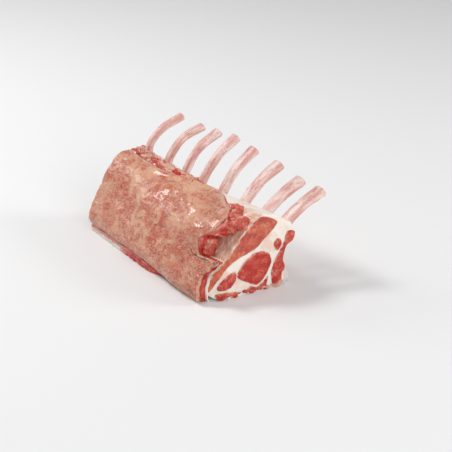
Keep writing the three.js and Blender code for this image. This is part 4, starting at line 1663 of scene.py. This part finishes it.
@dataclass
class Ribs(Part):
    """The eight scraped rib bones, swept from the head by the board to the sawn end."""

    around: int = 56
    along: int = 170
    sawn_rings: int = 22
    roughness: float = 0.34
    head_widening: float = 0.9
    head_thickening: float = 0.27
    end_thickening: float = 0.12
    stands_out: float = 0.8
    sawn_round: float = 0.9
    least_height: float = 0.3
    slope_step: float = 0.03

    def build(self) -> None:
        """Builds each bone as a piece of its own."""
        for i, rib in enumerate(RIBS):
            name = f"rib_{RIB_COUNT - i}"
            patch = Patchwork(name + "_bone", self.sections)
            self.bone(patch, rib, i)
            self.keep(patch, name, Slot.BONE)

    def line(self, rib: RibShape, x: float) -> np.ndarray:
        """Gives the control points of a rib's centre line: foot, hollow, rim, then the free bone.

        Args:
            rib: the bone's line and sizes.
            x: where it stands along the rack.

        Returns:
            The control points as (y, z).
        """
        places = np.array([13.0, 14.0, 15.0])
        rim_at, hollow, foot = self.sections.point(Outline.LOIN, np.full(3, x), places)
        sunk = rib.thick - self.stands_out
        return np.array(
            [
                (foot[0] - 3.6, foot[1]),
                mix(foot, hollow, 0.6) - (sunk, 0),
                (hollow[0] - sunk, hollow[1] + 4),
                (rim_at[0] - sunk - 1, rim_at[1] + 2),
                rib.leaves,
                rib.middle,
                rib.end,
            ]
        )

    def bone(self, patch: Patchwork, rib: RibShape, number: int) -> None:
        """Adds one bone: oval rings along the centre line, closed by rounded, nearly flat ends.

        Args:
            patch: what it is added to.
            rib: the bone's line and sizes.
            number: how many bones lie before it.
        """
        x = FIRST_RIB_X - number * RIB_PITCH
        line = self.line(rib, x)
        last = len(line) - 1
        place = np.linspace(0, last, self.along)
        middle = through(line, place)
        ahead, behind = np.minimum(place + self.slope_step, last), np.maximum(place - self.slope_step, 0)
        slope = unit(through(line, ahead) - through(line, behind))
        head = ramp(place, 1.4, 0)
        width = mix(*rib.half, ramp(place, 4.6, last)) + self.head_widening * head
        end = ramp(place, last - 1, last)
        thick = rib.thick * (1 + self.end_thickening * end) + self.head_thickening * head
        turn = np.linspace(0, 2 * np.pi, self.around + 1)
        turn[-1] = 0.0
        length = running_length(middle)[:, None]
        cos, sin, length, knob = np.broadcast_arrays(
            np.cos(turn), np.sin(turn), length, ramp(place, 1.1, 0)[:, None]
        )
        at = np.stack([cos * 4, sin * 4, length * 0.22], -1) + 40.0 * number
        rough = self.roughness * self.noise.layered(at, 3.2, 4, 0.55)
        across = (thick[:, None] + rough) * np.sign(sin) * np.abs(sin) ** 0.9
        side = (width[:, None] + rough) * np.sign(cos) * np.abs(cos) ** 0.86
        y = middle[:, None, 0] - slope[:, None, 1] * across
        z = middle[:, None, 1] + slope[:, None, 0] * across
        rings = np.stack([x + side, y, np.maximum(z, self.least_height)], -1)
        head_share = 1.0 if number == 0 else 0.25
        flow = {"along": length + 60 * number, "turn": cos, "across": sin, "head": knob * head_share}
        patch.grid(rings, cut=np.zeros_like(rough), **flow)
        for end, way in ((0, -1.0), (-1, 1.0)):
            self.sawn(patch, rings[end], slope[end] * way, {k: v[end] for k, v in flow.items()})

    def sawn(self, patch: Patchwork, ring: np.ndarray, way: np.ndarray, flow: dict) -> None:
        """Adds a sawn end: rings that shrink to the middle, rounded over at the edge.

        Args:
            patch: what it is added to.
            ring: the bone's last ring.
            way: the outward direction as (y, z).
            flow: the numbers that the last ring carries.
        """
        r = np.cos(np.linspace(0, np.pi / 2, self.sawn_rings))[:, None]
        centre = ring[:-1].mean(axis=0)
        points = centre + (ring - centre) * r[..., None]
        rise = self.sawn_round * (1 - np.clip((r - 0.8) / 0.2, 0, 1) ** 2)
        rise = rise + 0.25 * self.noise.layered(points, 2.4, 2) * (1 - r**6)
        points[..., 1:] += way * rise[..., None]
        points[-1] = points[-1].mean(axis=0)
        points[..., 2] = np.maximum(points[..., 2], self.least_height)
        points[0] = ring
        marks = {k: np.broadcast_to(v, r.shape[:1] + v.shape) for k, v in flow.items()}
        patch.grid(points, cut=ramp(r, 1, 0.85) * np.ones(len(ring)), **marks)


@dataclass(frozen=True)
class Lamp:
    """A square area light: its place and side in metres and its power in watts."""

    name: str
    place: tuple
    size: float
    power: float


LAMPS = (
    Lamp("key", (-0.75, -0.5, 1.25), 0.4, 12.0),
    Lamp("fill", (1.5, -0.2, 0.7), 1.0, 11.5),
    Lamp("back", (0.8, 1.25, 0.85), 0.5, 8.0),
    Lamp("glint", (-1.25, -0.6, 0.75), 0.5, 3.6),
)


@dataclass
class Studio:
    """The floor, the lights and the camera."""

    floor_half: float = 6.0
    floor_tone: float = 0.8
    floor_roughness: float = 0.7
    world_strength: float = 0.36
    aim: tuple = (0.0, 0.0, 0.04)
    camera_place: tuple = (0.9567, -0.5650, 0.5133)
    camera_down: float = 23.684
    camera_round: float = 58.38
    lens: float = 103.54
    sensor: float = 36.0
    clip: tuple = (0.05, 50.0)

    def build(self) -> None:
        """Lays a pale floor, sets soft lights and looks down at the near cut."""
        self.floor()
        for lamp in LAMPS:
            self.lamp(lamp)
        world = bpy.data.worlds.new("studio")
        bpy.context.scene.world = world
        world.use_nodes = True
        background = world.node_tree.nodes["Background"]
        background.inputs["Color"].default_value = (1.0, 1.0, 1.0, 1.0)
        background.inputs["Strength"].default_value = self.world_strength
        self.camera()

    @staticmethod
    def place(name: str, data: bpy.types.ID) -> bpy.types.Object:
        """Returns a new object in the scene that shows the data."""
        thing = bpy.data.objects.new(name, data)
        bpy.context.scene.collection.objects.link(thing)
        return thing

    def floor(self) -> None:
        """Adds the floor."""
        mesh = bpy.data.meshes.new("floor")
        half = self.floor_half
        corners = [(-half, -half, 0), (half, -half, 0), (half, half, 0), (-half, half, 0)]
        mesh.from_pydata(corners, [], [(0, 1, 2, 3)])
        floor = self.place("floor", mesh)
        material = bpy.data.materials.new("floor")
        material.use_nodes = True
        shader = material.node_tree.nodes["Principled BSDF"]
        shader.inputs["Base Color"].default_value = (*(self.floor_tone,) * 3, 1.0)
        shader.inputs["Roughness"].default_value = self.floor_roughness
        mesh.materials.append(material)

    def lamp(self, lamp: Lamp) -> None:
        """Adds one light, which faces the rack.

        Args:
            lamp: its place, size and power.
        """
        light = bpy.data.lights.new(lamp.name, "AREA")
        light.shape = "SQUARE"
        light.size = lamp.size
        light.energy = lamp.power
        made = self.place(lamp.name, light)
        made.location = lamp.place
        made.rotation_euler = (Vector(self.aim) - Vector(lamp.place)).to_track_quat("-Z", "Y").to_euler()

    def camera(self) -> None:
        """Sets the camera, tilted down at the near cut and the cap."""
        data = bpy.data.cameras.new("camera")
        data.lens = self.lens
        data.sensor_width = self.sensor
        data.clip_start, data.clip_end = self.clip
        camera = self.place("camera", data)
        camera.location = self.camera_place
        tilt, turn = math.radians(90 - self.camera_down), math.radians(self.camera_round)
        camera.rotation_euler = (tilt, 0.0, turn)
        bpy.context.scene.camera = camera
        bpy.context.scene.view_settings.view_transform = "Standard"


def main() -> None:
    """Builds the rack and dresses it, then sets the studio round it."""
    logging.basicConfig(level=logging.INFO, format="%(message)s")
    sections, noise = Sections(), Noise(7)
    finishes = {kind.SLOT: kind() for kind in (Lean, PaleLean, SeamFat, CapFat, Bone)}
    for assembly in (Loin, Muscles, Cap, Ribs):
        part = assembly(sections, noise)
        part.build()
        part.dress(finishes)
    Studio().build()


if __name__ == "__main__":
    main()
